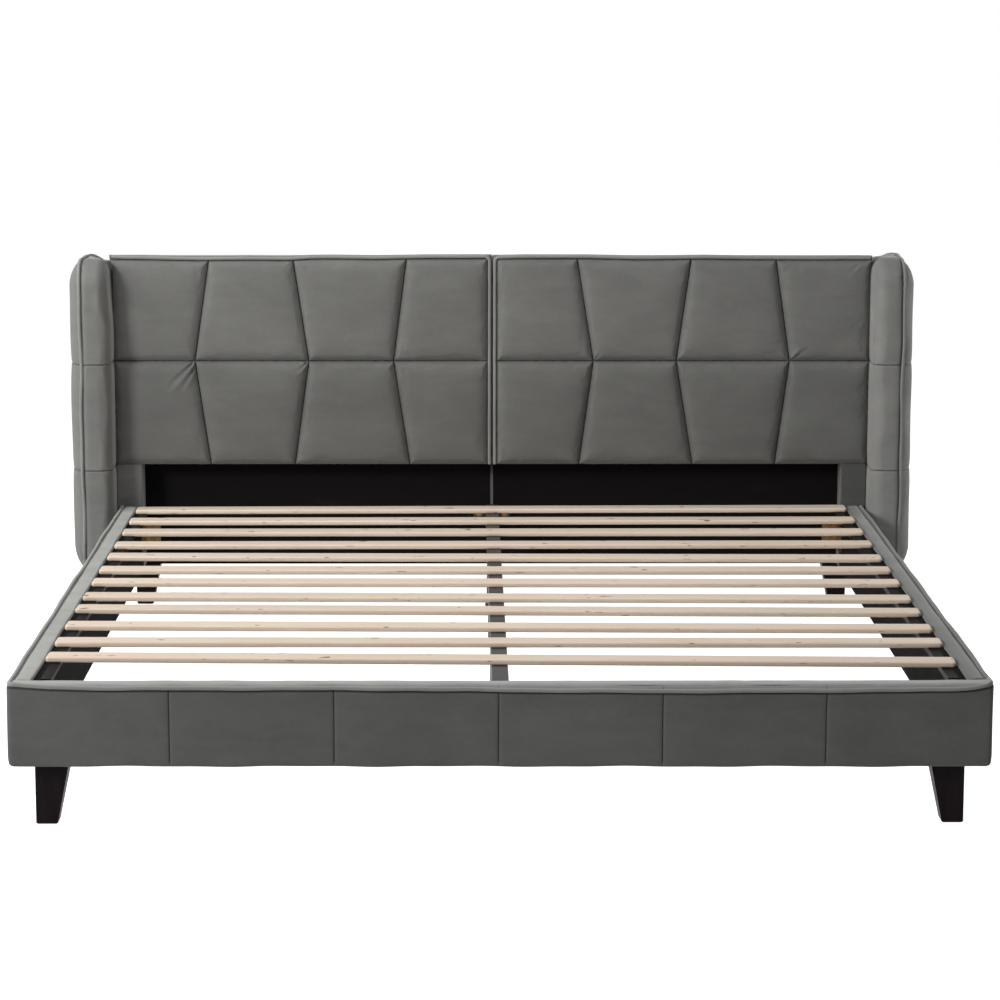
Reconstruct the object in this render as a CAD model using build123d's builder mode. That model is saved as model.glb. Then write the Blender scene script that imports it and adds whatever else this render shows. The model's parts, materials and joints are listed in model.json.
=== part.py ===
from build123d import *
import os

os.makedirs("parts", exist_ok=True)

# A king-size upholstered wing bed. X runs across, +Y towards the headboard, Z up.
# The origin is on the floor, in the middle of the footprint.

# Overall sizes
bed_length = 2310.0
frame_width = 1994.0
leg_height = 131.0
frame_height = 171.0
headboard_height = 979.0
cloth = 3.0
padding = 4.0

# Footboard and side rails
board = 36.0
inner_board = 14.0
seat_drop = 6.0
edge_bevel = 4.0
piping_radius = 4.5
piping_gap = 0.3
piping_corner = 12.0
footboard_panels = 6
seam_width = 3.0
seam_depth = 1.8
leg_block_width = 70.0
leg_block_height = 40.0

# Slat ledges
ledge_flange = 22.0
ledge_drop = 40.0
ledge_wall = 3.0
ledge_end_gap = 20.0

# Slats
slat_end_gap = 3.5
slat_width = 56.0
slat_thickness = 12.0
slat_edge_radius = 4.5
slat_corner_radius = 8.0
slat_first = 223.0
slat_last = 51.0
slat_shift_shares = (0.0, 0.01, -0.05, 0.02, -0.11, -0.04, -0.11, -0.13, -0.09, -0.03, -0.02, 0.03)
slat_skew_degrees = (-1.8, -0.5, -1.3, -1.5, -1.2, -0.6, -0.4, -0.9, 0.2, 0.0, 0.4, 0.8)

# Headboard
headboard_overhang = 15.0
headboard_split = 1.0
headboard_depth = 130.0
headboard_cap_drop = 15.0
headboard_board = 18.0
headboard_base_board = 25.0
headboard_front_board = 9.0
fixing_rail_bottom = 34.0
fixing_rail_height = 130.0
fixing_rail_depth = 25.0
lower_panel_thickness = 6.0
cushion_bottom = 418.0
cushion_slab = 74.0
cushion_crown = 18.0
cushion_border = 12.0
cushion_edge_radius = 4.0
crown_rise_shares = (0.0, 0.5, 0.86, 1.0)
crown_insets = (1.5, 9.0, 30.0, 66.0)
seam_edge_shares = (0.226, 0.524, 0.746)
seam_middle_shares = (0.263, 0.483, 0.785)
stile_face = 80.0
stile_edge_radius = 7.0

# Wings
wing_thickness = 74.0
wing_reach = 105.0
wing_rise = 2.0
wing_fall = 20.0
wing_pad = 18.0
wing_nose = 30.0
wing_end_pad = 14.0
wing_corner = 70.0
wing_round = 26.0
wing_rim = 15.0
wing_welt_inset = 6.0
wing_crown = 42.0
wing_rise_shares = (0.0, 0.5, 0.86, 1.0)
wing_insets = (0.0, 4.0, 17.0, 46.0)

# Centre beam and its legs
beam_width = 34.0
beam_height = 50.0
beam_wall = 2.0
beam_leg_shares = (0.238, 0.4784, 0.7662)
tube_radius = 13.0
tube_wall = 1.5
leg_plate_length = 60.0
leg_plate = 3.0
insert_height = 16.0
centre_leg_inset = 67.0

# Levelling glides
glide_pad_radius = 18.0
glide_pad_height = 6.0
glide_edge = 1.5
glide_neck_radius = 8.0
glide_seat_gap = 0.3
glide_travel = 12.0
glide_leg_clearance = 14.0
stem_radius = 4.0
stem_clearance = 0.1

# Corner legs
leg_top = 70.0
leg_foot = 44.0
leg_bevel = 3.0
front_leg_inset = 44.0
front_leg_setback = 33.0
rear_leg_inset = 32.0
rear_leg_gap = 2.0

# Brackets and bolts
plate = 3.0
bracket_width = 40.0
bracket_gap = 6.0
bracket_height = 68.0
bracket_bolt_inset = 18.0
bracket_bolt_shares = (0.26, 0.74)
beam_bracket_ear = 30.0
beam_bracket_reach = 40.0
beam_bracket_drop = 10.0
bolt_radius = 4.0
bolt_clearance = 0.1
bolt_reach = 26.0
bolt_head_width = 13.0
bolt_head_height = 5.3
washer_radius = 8.5
washer_height = 1.6
leg_bolt_half = 30.0

# Places worked out from the sizes
# The front piping stands proud of the footboard, so the footprint's middle allows for it.
# It lies in the cover's bevel, with its centre out from the bevel's middle along the diagonal.
welt_out = (piping_radius + piping_gap) / 2 ** 0.5 - edge_bevel / 2
foot_y = -(bed_length - welt_out - piping_radius) / 2
head_y = foot_y + bed_length
half_width = frame_width / 2
headboard_half = half_width + headboard_overhang
front_leg_x = half_width - front_leg_inset
rear_leg_x = headboard_half - rear_leg_inset
rail_top = leg_height + frame_height
seat_z = rail_top - seat_drop
cover_inner = half_width - padding - board
inner_face = cover_inner - inner_board
back_face = head_y - cloth
front_face = head_y - headboard_depth
slab_face = front_face - cushion_slab
stile_front = front_face - stile_face
panel_face = front_face - lower_panel_thickness
beam_z = seat_z - beam_height
bracket_bottom = seat_z - ledge_drop - bracket_gap - bracket_height
wing_top = headboard_height + wing_rise
wing_front = slab_face - wing_reach
wing_outer = headboard_half + wing_thickness
foot_inner = foot_y + padding + board + inner_board
slat_length = (cover_inner - slat_end_gap) * 2
slat_row = stile_front - slat_last - foot_y - slat_first
slat_pitch = slat_row / (len(slat_shift_shares) - 1)
stem_length = insert_height + glide_travel


def save(piece, node):
    """Label a finished piece and write it under its node's name."""
    piece.part.label = node
    export_step(piece.part, "parts/" + node + ".step")


def block(x0, x1, y0, y1, z0, z1, mode=Mode.ADD):
    """A straight block between two corners."""
    with BuildSketch(Plane.XY.offset(z0)) as outline:
        with Locations(((x0 + x1) / 2, (y0 + y1) / 2)):
            Rectangle(abs(x1 - x0), abs(y1 - y0))
    extrude(outline.sketch, amount=z1 - z0, mode=mode)


def rod(start, direction, radius, length, mode=Mode.ADD):
    """A round bar or hole from a start point along a direction."""
    with BuildSketch(Plane(origin=start, z_dir=direction)) as outline:
        Circle(radius)
    extrude(outline.sketch, amount=length, mode=mode)


def welt(points, corner):
    """A round piping cord along straight runs joined by arcs."""
    with BuildLine() as path:
        if len(points) > 2:
            FilletPolyline(*points, radius=corner)
        else:
            Line(*points)
    with BuildSketch(Plane(origin=path.line @ 0, z_dir=path.line % 0)) as section:
        Circle(piping_radius)
    sweep(section.sketch, path=path.line)


def bracket_bolts():
    """Where each corner bracket's bolt goes in, and which way it points."""
    places = []
    for side in (-1, 1):
        for level_share in bracket_bolt_shares:
            z = bracket_bottom + bracket_height * level_share
            plate_x = side * (inner_face - bracket_width + bracket_bolt_inset)
            rail_x = side * (inner_face - plate)
            reach = bracket_width - bracket_bolt_inset
            places.append(((plate_x, foot_inner + plate, z), (0, -1, 0)))
            places.append(((plate_x, panel_face - plate, z), (0, 1, 0)))
            places.append(((rail_x, foot_inner + reach, z), (side, 0, 0)))
            places.append(((rail_x, stile_front - reach, z), (side, 0, 0)))
    return places


def beam_bolts():
    """The same for the two brackets that carry the beam."""
    places = []
    ear_x = beam_width / 2 + plate + beam_bracket_ear / 2
    z = beam_z + beam_height / 2
    for side in (-1, 1):
        places.append(((side * ear_x, foot_inner + plate, z), (0, -1, 0)))
        places.append(((side * ear_x, panel_face - plate, z), (0, 1, 0)))
    return places


def leg_centres():
    """The middle of each corner leg's top."""
    front_y = foot_y + front_leg_setback + leg_top / 2
    rear_y = head_y - rear_leg_gap - leg_top / 2
    inset = leg_top / 2
    places = []
    for side in (-1, 1):
        places.append((side * (front_leg_x - inset), front_y))
        places.append((side * (rear_leg_x - inset), rear_y))
    return places


def drill(places):
    """A bolt hole at each place, through the bracket and into the board behind."""
    for start, direction in places:
        rod(start, direction, bolt_radius + bolt_clearance, bolt_reach + plate, mode=Mode.SUBTRACT)


def drill_bolts(low_y, high_y, side=0):
    """Bolt holes into the boards that lie between two lengths of the bed."""
    places = bracket_bolts() + beam_bolts()
    drill([place for place in places if low_y <= place[0][1] <= high_y and place[0][0] * side >= 0])


def drill_leg_bolts():
    """The hanger bolts' holes, half in the leg and half in what it hangs from."""
    for x, y in leg_centres():
        rod((x, y, leg_height - leg_bolt_half), (0, 0, 1), bolt_radius + bolt_clearance,
            leg_bolt_half * 2, mode=Mode.SUBTRACT)


# Footboard: a lined board with two leg blocks, its padded velvet cover and the piping
with BuildPart() as footboard_core:
    block(-half_width + padding, half_width - padding, foot_y + padding, foot_inner - inner_board,
          leg_height + padding, rail_top - padding)
    block(-inner_face, inner_face, foot_inner - inner_board, foot_inner, leg_height, seat_z)
    for side in (-1, 1):
        block(side * (inner_face - leg_block_width), side * inner_face, foot_inner,
              foot_inner + leg_block_width - inner_board, leg_height, leg_height + leg_block_height)
    drill_bolts(foot_y, foot_inner + plate)
    drill_leg_bolts()
save(footboard_core, "footboard_core")

with BuildPart() as footboard_cover:
    block(-half_width, half_width, foot_y, foot_inner - inner_board, leg_height, rail_top)
    front_top = footboard_cover.edges().group_by(Axis.Z)[-1].filter_by(Axis.X).sort_by(Axis.Y)[0]
    end_tops = footboard_cover.edges().group_by(Axis.Z)[-1].filter_by(Axis.Y)
    chamfer([front_top, *end_tops], length=edge_bevel)
    block(-half_width + padding, half_width - padding, foot_y + padding, foot_inner - inner_board,
          leg_height + padding, rail_top - padding, mode=Mode.SUBTRACT)
    for seam in range(1, footboard_panels):
        seam_x = -half_width + frame_width * seam / footboard_panels
        block(seam_x - seam_width / 2, seam_x + seam_width / 2, foot_y, foot_y + seam_depth,
              leg_height, rail_top - edge_bevel, mode=Mode.SUBTRACT)
save(footboard_cover, "footboard_cover")

welt_x = half_width + welt_out
welt_y = foot_y - welt_out
welt_z = rail_top + welt_out
with BuildPart() as footboard_piping:
    welt(((-welt_x, foot_inner - inner_board, welt_z), (-welt_x, welt_y, welt_z),
          (welt_x, welt_y, welt_z), (welt_x, foot_inner - inner_board, welt_z)), piping_corner)
save(footboard_piping, "footboard_piping")

# Side rails: lined board, padded cover, piping and the steel angle that carries the slats
rail_start = foot_inner - inner_board
for name, side in (("left", -1), ("right", 1)):
    with BuildPart() as rail_core:
        block(side * cover_inner, side * (half_width - padding), rail_start, stile_front,
              leg_height + padding, rail_top - padding)
        block(side * inner_face, side * cover_inner, rail_start, stile_front, leg_height, seat_z)
        drill_bolts(foot_inner + bracket_width - bracket_bolt_inset, stile_front, side)
    save(rail_core, name + "_rail_core")

    with BuildPart() as rail_cover:
        block(side * cover_inner, side * half_width, rail_start, stile_front, leg_height, rail_top)
        outer_top = rail_cover.edges().group_by(Axis.Z)[-1].filter_by(Axis.Y).sort_by(Axis.X)[0 if side < 0 else -1]
        chamfer(outer_top, length=edge_bevel)
        block(side * cover_inner, side * (half_width - padding), rail_start, stile_front,
              leg_height + padding, rail_top - padding, mode=Mode.SUBTRACT)
    save(rail_cover, name + "_rail_cover")

    with BuildPart() as rail_piping:
        welt(((side * welt_x, rail_start + piping_gap, welt_z),
              (side * welt_x, stile_front - piping_gap, welt_z)), piping_corner)
    save(rail_piping, name + "_rail_piping")

    with BuildPart() as slat_ledge:
        ledge_start = foot_inner + ledge_end_gap
        ledge_end = stile_front - ledge_end_gap
        block(side * (inner_face - ledge_flange), side * inner_face, ledge_start, ledge_end,
              seat_z - ledge_wall, seat_z)
        block(side * (inner_face - ledge_wall), side * inner_face, ledge_start, ledge_end,
              seat_z - ledge_drop, seat_z - ledge_wall)
    save(slat_ledge, name + "_slat_ledge")

# Twelve loose slats, laid by hand, so a little out of pitch and out of square
for index in range(len(slat_shift_shares)):
    slat_y = foot_y + slat_first + slat_pitch * (index + slat_shift_shares[index])
    tilt = Plane.XY.rotated((0, 0, slat_skew_degrees[index])).x_dir
    with BuildPart() as slat:
        with BuildSketch(Plane(origin=(0, slat_y, seat_z), x_dir=tilt, z_dir=(0, 0, 1))):
            RectangleRounded(slat_length, slat_width, slat_corner_radius)
        extrude(amount=slat_thickness)
        faces = slat.faces().sort_by(Axis.Z)
        fillet([*faces[0].edges(), *faces[-1].edges()], radius=slat_edge_radius)
    save(slat, "slat_{:02d}".format(index + 1))

# Headboard half: a deep box frame with a board behind the cushion and a rail for the bolts
with BuildPart() as right_headboard_frame:
    frame_left = headboard_split / 2 + cloth
    cap_top = headboard_height - headboard_cap_drop
    frame_top = cap_top - cloth
    block(frame_left, headboard_half, front_face, back_face, leg_height, frame_top)
    bay_middle = (frame_left + headboard_half) / 2
    bay_edges = ((frame_left + headboard_board, bay_middle - headboard_board / 2),
                 (bay_middle + headboard_board / 2, headboard_half - headboard_board))
    for low_x, high_x in bay_edges:
        block(low_x, high_x, front_face, back_face, leg_height + headboard_base_board,
              cushion_bottom - headboard_board / 2, mode=Mode.SUBTRACT)
        block(low_x, high_x, front_face + headboard_front_board, back_face,
              cushion_bottom + headboard_board / 2, frame_top - headboard_board, mode=Mode.SUBTRACT)
        block(low_x, high_x, front_face, front_face + fixing_rail_depth,
              leg_height + fixing_rail_bottom, leg_height + fixing_rail_bottom + fixing_rail_height)
    drill_bolts(panel_face - plate, front_face, 1)
    drill_leg_bolts()
save(right_headboard_frame, "right_headboard_frame")

with BuildPart() as right_lower_panel:
    block(frame_left, inner_face, panel_face, front_face, leg_height, cushion_bottom)
    drill_bolts(panel_face - plate, front_face, 1)
save(right_lower_panel, "right_lower_panel")

with BuildPart() as right_headboard_back_cover:
    cover_left = headboard_split / 2
    block(cover_left, headboard_half, front_face, head_y, leg_height, cap_top)
    block(frame_left, headboard_half, front_face, back_face, leg_height, frame_top, mode=Mode.SUBTRACT)
    block(cover_left, frame_left, panel_face, front_face, leg_height, cushion_bottom)
save(right_headboard_back_cover, "right_headboard_back_cover")


def face_plane(y):
    """A plane that faces the foot of the bed, with X across and Z up."""
    return Plane(origin=(0, y, 0), x_dir=(1, 0, 0), z_dir=(0, -1, 0))


def pillow(corners):
    """One stuffed panel: outlines that draw in as the foam rises, sewn down all round."""
    outlines = []
    for rise_share, inset in zip(crown_rise_shares, crown_insets):
        with BuildSketch(face_plane(slab_face - cushion_crown * rise_share)) as outline:
            with BuildLine():
                Polyline(*corners, close=True)
            make_face()
            offset(amount=-inset, kind=Kind.INTERSECTION)
        outlines.append(outline.sketch)
    loft(sections=outlines)


# The cushion's zigzag seams: each meets the level middle seam at its own middle share
cushion_left = headboard_split
cushion_right = headboard_half - piping_gap
pillow_left = cushion_left + cushion_border
pillow_right = cushion_right - piping_gap
pillow_bottom = cushion_bottom + piping_gap
pillow_top = headboard_height - cushion_border
seam_z = (cushion_bottom + headboard_height) / 2
edge_x = [pillow_left] + [headboard_half * share for share in seam_edge_shares] + [pillow_right]
middle_x = [pillow_left] + [headboard_half * share for share in seam_middle_shares] + [pillow_right]
with BuildPart() as right_headboard_cushion:
    block(cushion_left, cushion_right, slab_face, front_face, cushion_bottom, headboard_height)
    front_edges = right_headboard_cushion.faces().sort_by(Axis.Y)[0].edges()
    fillet([front_edges.sort_by(Axis.Z)[-1], front_edges.sort_by(Axis.X)[0]], radius=cushion_edge_radius)
    for column in range(len(seam_edge_shares) + 1):
        for edge_z in (pillow_bottom, pillow_top):
            pillow(((edge_x[column], edge_z), (edge_x[column + 1], edge_z),
                    (middle_x[column + 1], seam_z), (middle_x[column], seam_z)))
save(right_headboard_cushion, "right_headboard_cushion")

welt_face = slab_face - piping_radius - piping_gap
welt_top = headboard_height - cushion_border / 2
welt_side = cushion_left + cushion_border / 2
with BuildPart() as right_headboard_piping:
    welt(((pillow_right - piping_radius, welt_face, welt_top), (welt_side, welt_face, welt_top),
          (welt_side, welt_face, cushion_bottom + piping_gap)), piping_corner)
save(right_headboard_piping, "right_headboard_piping")

with BuildPart() as right_headboard_stile:
    block(inner_face, cushion_right, stile_front, front_face, leg_height, cushion_bottom)
    stile_edge = right_headboard_stile.edges().filter_by(Axis.Z).group_by(Axis.Y)[0]
    fillet(stile_edge, radius=stile_edge_radius)
save(right_headboard_stile, "right_headboard_stile")

# Wing: a flat core, the padded inner side with its round nose, the full outer side and its piping
side_plane = Plane(origin=(0, 0, 0), x_dir=(0, 1, 0), z_dir=(1, 0, 0))


def wing_outline(x, front_inset, end_inset, back_inset, corner):
    """The wing's side outline at one X: round front corners, and a top that falls to the square back."""
    low_y = wing_front + front_inset
    high_y = head_y - back_inset
    low_z = leg_height + end_inset
    high_z = wing_top - end_inset
    with BuildSketch(side_plane.offset(x)) as outline:
        with BuildLine():
            Polyline((low_y, low_z), (high_y, low_z), (high_y, high_z - wing_fall), (low_y, high_z), close=True)
        make_face()
        fillet(outline.vertices().group_by(Axis.X)[0], radius=corner)
    return outline.sketch


with BuildPart() as right_wing_core:
    core_side = wing_outline(headboard_half + wing_pad, wing_nose, wing_end_pad, cloth, wing_corner - wing_nose)
    extrude(core_side, amount=wing_thickness - wing_pad)
save(right_wing_core, "right_wing_core")

with BuildPart() as right_wing_inner_pad:
    extrude(wing_outline(headboard_half, 0, 0, 0, wing_corner), amount=wing_thickness)
    inner_rim = right_wing_inner_pad.faces().sort_by(Axis.X)[0].edges()
    fillet(inner_rim.sort_by(Axis.Y)[:-1], radius=wing_round)
    add(right_wing_core.part, mode=Mode.SUBTRACT)
save(right_wing_inner_pad, "right_wing_inner_pad")

with BuildPart() as right_wing_outer_pad:
    outlines = []
    for rise_share, inset in zip(wing_rise_shares, wing_insets):
        rim = wing_rim + inset
        outlines.append(wing_outline(wing_outer + wing_crown * rise_share, rim, rim, rim, wing_corner - rim))
    loft(sections=outlines)
save(right_wing_outer_pad, "right_wing_outer_pad")

wing_welt_x = wing_outer + piping_radius + piping_gap
with BuildPart() as right_wing_piping:
    welt(((wing_welt_x, head_y - wing_welt_inset, wing_top - wing_fall - wing_welt_inset),
          (wing_welt_x, wing_front + wing_welt_inset, wing_top - wing_welt_inset),
          (wing_welt_x, wing_front + wing_welt_inset, leg_height + wing_welt_inset),
          (wing_welt_x, head_y - wing_welt_inset, leg_height + wing_welt_inset)), wing_corner - wing_welt_inset)
save(right_wing_piping, "right_wing_piping")

# The left half of the headboard and the left wing mirror the right ones
mirrored = {
    "left_headboard_frame": right_headboard_frame,
    "left_lower_panel": right_lower_panel,
    "left_headboard_back_cover": right_headboard_back_cover,
    "left_headboard_cushion": right_headboard_cushion,
    "left_headboard_piping": right_headboard_piping,
    "left_headboard_stile": right_headboard_stile,
    "left_wing_core": right_wing_core,
    "left_wing_inner_pad": right_wing_inner_pad,
    "left_wing_outer_pad": right_wing_outer_pad,
    "left_wing_piping": right_wing_piping,
}
for node, right_piece in mirrored.items():
    with BuildPart() as left_piece:
        mirror(right_piece.part, about=Plane.YZ)
    save(left_piece, node)

# Centre beam: a steel tube under the slats, hung in a bracket at each end
beam_start = foot_inner + plate
beam_end = panel_face - plate
with BuildPart() as centre_beam:
    block(-beam_width / 2, beam_width / 2, beam_start, beam_end, beam_z, seat_z)
    block(-beam_width / 2 + beam_wall, beam_width / 2 - beam_wall, beam_start, beam_end,
          beam_z + beam_wall, seat_z - beam_wall, mode=Mode.SUBTRACT)
save(centre_beam, "centre_beam")

with BuildPart() as beam_brackets:
    ear_x = beam_width / 2 + plate + beam_bracket_ear
    cheek_x = beam_width / 2
    for wall_y, inward in ((foot_inner, 1), (panel_face, -1)):
        face_y = wall_y + inward * plate
        reach_y = face_y + inward * beam_bracket_reach
        block(-ear_x, ear_x, wall_y, face_y, beam_z - plate, seat_z - beam_bracket_drop)
        block(-cheek_x - plate, cheek_x + plate, face_y, reach_y, beam_z - plate, beam_z)
        for side in (-1, 1):
            block(side * cheek_x, side * (cheek_x + plate), face_y, reach_y, beam_z,
                  seat_z - beam_bracket_drop)
    drill(beam_bolts())
save(beam_brackets, "beam_brackets")


def support_leg(x, y, top_z):
    """A steel tube with a plate on top and a threaded insert at its foot."""
    block(x - beam_width / 2, x + beam_width / 2, y - leg_plate_length / 2,
          y + leg_plate_length / 2, top_z - leg_plate, top_z)
    rod((x, y, glide_leg_clearance), (0, 0, 1), tube_radius, top_z - leg_plate - glide_leg_clearance)
    rod((x, y, glide_leg_clearance + insert_height), (0, 0, 1), tube_radius - tube_wall,
        top_z - leg_plate - glide_leg_clearance - insert_height, mode=Mode.SUBTRACT)
    rod((x, y, glide_leg_clearance), (0, 0, 1), stem_radius + stem_clearance, insert_height,
        mode=Mode.SUBTRACT)


def levelling_glide(x, y):
    """A round foot on a threaded stem, shown screwed right in."""
    rod((x, y, 0), (0, 0, 1), glide_pad_radius, glide_pad_height)
    rod((x, y, glide_pad_height), (0, 0, 1), glide_neck_radius,
        glide_leg_clearance - glide_seat_gap - glide_pad_height)
    rod((x, y, glide_leg_clearance - glide_seat_gap), (0, 0, 1), stem_radius, stem_length)


centre_leg_y = head_y - centre_leg_inset
support_places = {
    "foot": (foot_y + bed_length * beam_leg_shares[0], beam_z),
    "middle": (foot_y + bed_length * beam_leg_shares[1], beam_z),
    "head": (foot_y + bed_length * beam_leg_shares[2], beam_z),
    "headboard": (centre_leg_y, leg_height),
}
for name, (place_y, top_z) in support_places.items():
    with BuildPart() as leg:
        support_leg(0, place_y, top_z)
    save(leg, name + "_support_leg")

    with BuildPart() as glide:
        levelling_glide(0, place_y)
        pad_rims = glide.edges().filter_by(GeomType.CIRCLE).filter_by(lambda edge: edge.radius > glide_neck_radius)
        fillet(pad_rims, radius=glide_edge)
    save(glide, name + "_levelling_glide")


def corner_leg(side, outer_x, wall_y, inward):
    """A leg that stays upright on its two outer sides and tapers on the two inner ones."""
    outlines = []
    for z, size in ((0, leg_foot), (leg_height, leg_top)):
        with BuildSketch(Plane.XY.offset(z)) as outline:
            with Locations((side * (outer_x - size / 2), wall_y + inward * size / 2)):
                Rectangle(size, size)
        outlines.append(outline.sketch)
    loft(sections=outlines)


for name, side in (("left", -1), ("right", 1)):
    for end, outer_x, wall_y, inward in (
        ("front", front_leg_x, foot_y + front_leg_setback, 1),
        ("rear", rear_leg_x, head_y - rear_leg_gap, -1),
    ):
        with BuildPart() as corner:
            corner_leg(side, outer_x, wall_y, inward)
            chamfer(corner.faces().sort_by(Axis.Z)[0].edges(), length=leg_bevel)
            drill_leg_bolts()
        save(corner, name + "_" + end + "_leg")

# Hanger bolts that hold the corner legs
with BuildPart() as leg_bolts:
    for x, y in leg_centres():
        rod((x, y, leg_height - leg_bolt_half), (0, 0, 1), bolt_radius, leg_bolt_half * 2)
save(leg_bolts, "leg_bolts")

# Angle brackets in the four corners
with BuildPart() as corner_brackets:
    top_z = bracket_bottom + bracket_height
    for side in (-1, 1):
        for wall_y, inward, rail_end in (
            (foot_inner, 1, foot_inner + bracket_width),
            (panel_face, -1, stile_front - bracket_width),
        ):
            face_y = wall_y + inward * plate
            block(side * (inner_face - bracket_width), side * inner_face, wall_y, face_y, bracket_bottom, top_z)
            block(side * (inner_face - plate), side * inner_face, face_y, rail_end, bracket_bottom, top_z)
    drill(bracket_bolts())
save(corner_brackets, "corner_brackets")

# Hex bolts with washers through every bracket
with BuildPart() as bracket_bolt_set:
    for start, direction in bracket_bolts() + beam_bolts():
        away = tuple(-value for value in direction)
        head_start = tuple(value + washer_height * back for value, back in zip(start, away))
        rod(start, direction, bolt_radius, bolt_reach)
        rod(start, away, washer_radius, washer_height)
        with BuildSketch(Plane(origin=head_start, z_dir=away)) as head:
            RegularPolygon(bolt_head_width / 2, 6, major_radius=False)
        extrude(head.sketch, amount=bolt_head_height)
save(bracket_bolt_set, "bracket_bolts")
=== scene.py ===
import json
import math

import bmesh
import bpy
import numpy as np
from mathutils import Matrix, Vector


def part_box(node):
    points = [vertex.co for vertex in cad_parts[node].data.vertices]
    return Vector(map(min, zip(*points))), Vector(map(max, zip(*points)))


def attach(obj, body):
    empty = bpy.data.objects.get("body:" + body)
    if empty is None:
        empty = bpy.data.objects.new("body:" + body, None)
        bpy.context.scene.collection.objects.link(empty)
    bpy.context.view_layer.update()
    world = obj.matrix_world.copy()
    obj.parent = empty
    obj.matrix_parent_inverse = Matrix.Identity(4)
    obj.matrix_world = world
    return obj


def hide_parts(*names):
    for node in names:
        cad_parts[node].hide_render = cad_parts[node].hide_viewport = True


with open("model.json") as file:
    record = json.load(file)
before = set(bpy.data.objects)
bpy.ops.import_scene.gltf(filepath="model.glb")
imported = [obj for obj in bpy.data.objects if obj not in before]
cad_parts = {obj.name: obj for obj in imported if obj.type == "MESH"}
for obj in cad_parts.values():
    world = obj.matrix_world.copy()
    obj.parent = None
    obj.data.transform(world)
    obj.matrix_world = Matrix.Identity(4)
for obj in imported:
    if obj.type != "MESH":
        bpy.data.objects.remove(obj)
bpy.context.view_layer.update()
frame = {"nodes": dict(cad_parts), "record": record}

MM = 0.001
X, Y, Z = np.eye(3)

# The two sides of the bed, with their direction along X and the seeds of their unevenness
sides = {"left": -1, "right": 1}
seeds = {
    "left": {"fullness": 11, "cushion": 21, "rail": 41, "stile": 61, "back": 71, "wing": 81},
    "right": {"fullness": 12, "cushion": 22, "rail": 51, "stile": 62, "back": 75, "wing": 91},
}

# The photograph's camera, worked out from the rails, legs and headboard
camera_place = (-0.0715, -7.2235, 1.7228)
camera_tilt = 0.1700
camera_yaw = 0.0114
camera_roll = -0.0014
focal_pixels = 3067.7
photo_pixels = 1000.0
sensor_width = 36.0

# Colours of the finishes, as linear light
white = (1, 1, 1, 1)
velvet_grey = (0.165, 0.165, 0.157, 1)
# Painted shade: the right stile's velvet, half as light as the rest.
velvet_shaded = (0.083, 0.083, 0.080, 1)
# Painted shade and light: the footboard's velvet is darker than the rest, its top painted much
# lighter.
velvet_foot = (0.100, 0.101, 0.097, 1)
# Painted light: the right wing's velvet, lighter than the rest.
velvet_lit = (0.207, 0.207, 0.198, 1)
# Painted shade: the headboard cushion's velvet, a little darker than the rest.
velvet_cushion = (0.151, 0.151, 0.144, 1)
# Painted shade: the left stile's velvet, a little darker than the rest.
velvet_stile = (0.150, 0.150, 0.144, 1)
# Painted light: the cords' velvet, lighter than the rest.
velvet_cord = (0.228, 0.228, 0.218, 1)
# Painted shade: the right rail's cord, darker than the other cords.
velvet_rail_cord = (0.165, 0.165, 0.158, 1)
velvet_sheen = (0.82, 0.82, 0.80, 1)
lining_black = (0.0074, 0.0068, 0.0068, 1)
lining_worn = (0.0149, 0.0128, 0.0135, 1)
lining_scuffed = (0.020, 0.018, 0.019, 1)
slat_pale = (0.765, 0.65, 0.53, 1)
slat_grain = (0.66, 0.52, 0.40, 1)
slat_pink = (0.80, 0.62, 0.53, 1)
slat_speck = (0.16, 0.075, 0.035, 1)
steel_dark = (0.022, 0.020, 0.022, 1)
steel_worn = (0.050, 0.046, 0.050, 1)
# The zinc's yellow is kept dark: partly its own tint, partly painted shade, as the brackets sit in
# shadow.
zinc_yellow = (0.26, 0.16, 0.055, 1)
zinc_pink = (0.19, 0.095, 0.065, 1)
espresso_dark = (0.0045, 0.003, 0.0035, 1)
espresso_light = (0.011, 0.007, 0.008, 1)
timber_pale = (0.56, 0.42, 0.27, 1)
timber_dark = (0.40, 0.27, 0.15, 1)
plastic_black = (0.018, 0.018, 0.019, 1)
plastic_scuffed = (0.05, 0.05, 0.052, 1)
floor_pale = (0.82, 0.82, 0.82, 1)
floor_mottle = (0.78, 0.78, 0.78, 1)

# Mesh spacing beside a seam or an edge, in millimetres
beside_seam = (0, 0.6, 1.6, 3, 5, 8, 12)

# Headboard cushion: the seams' distances from the middle of the bed, in metres
seam_top = {"left": (0.229, 0.531, 0.756), "right": (0.227, 0.531, 0.758)}
seam_middle = {"left": (0.264, 0.491, 0.796), "right": (0.2715, 0.494, 0.798)}
seam_bottom = {"left": (0.221, 0.530, 0.756), "right": (0.234, 0.540, 0.762)}
cushion_border = 11 * MM
cushion_slab = 74 * MM
cushion_crown = 23 * MM
# How much of the crown is reached at which distance from a seam, in millimetres
cushion_rise = ((0.20, 7), (0.32, 16), (0.20, 40), (0.28, 125))
# Widths of the dark line painted along the slanted and the level seams: the seam line with painted
# shade.
slanted_crease = 2.0 * MM
level_crease = 1.2 * MM
seam_steps = tuple(d * MM for d in (0, 0.6, 1.4, 2.6, 4.2, 6.5, 10, 15, 22, 31))
quilt_step = 9 * MM
edge_roll = 5 * MM
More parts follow.
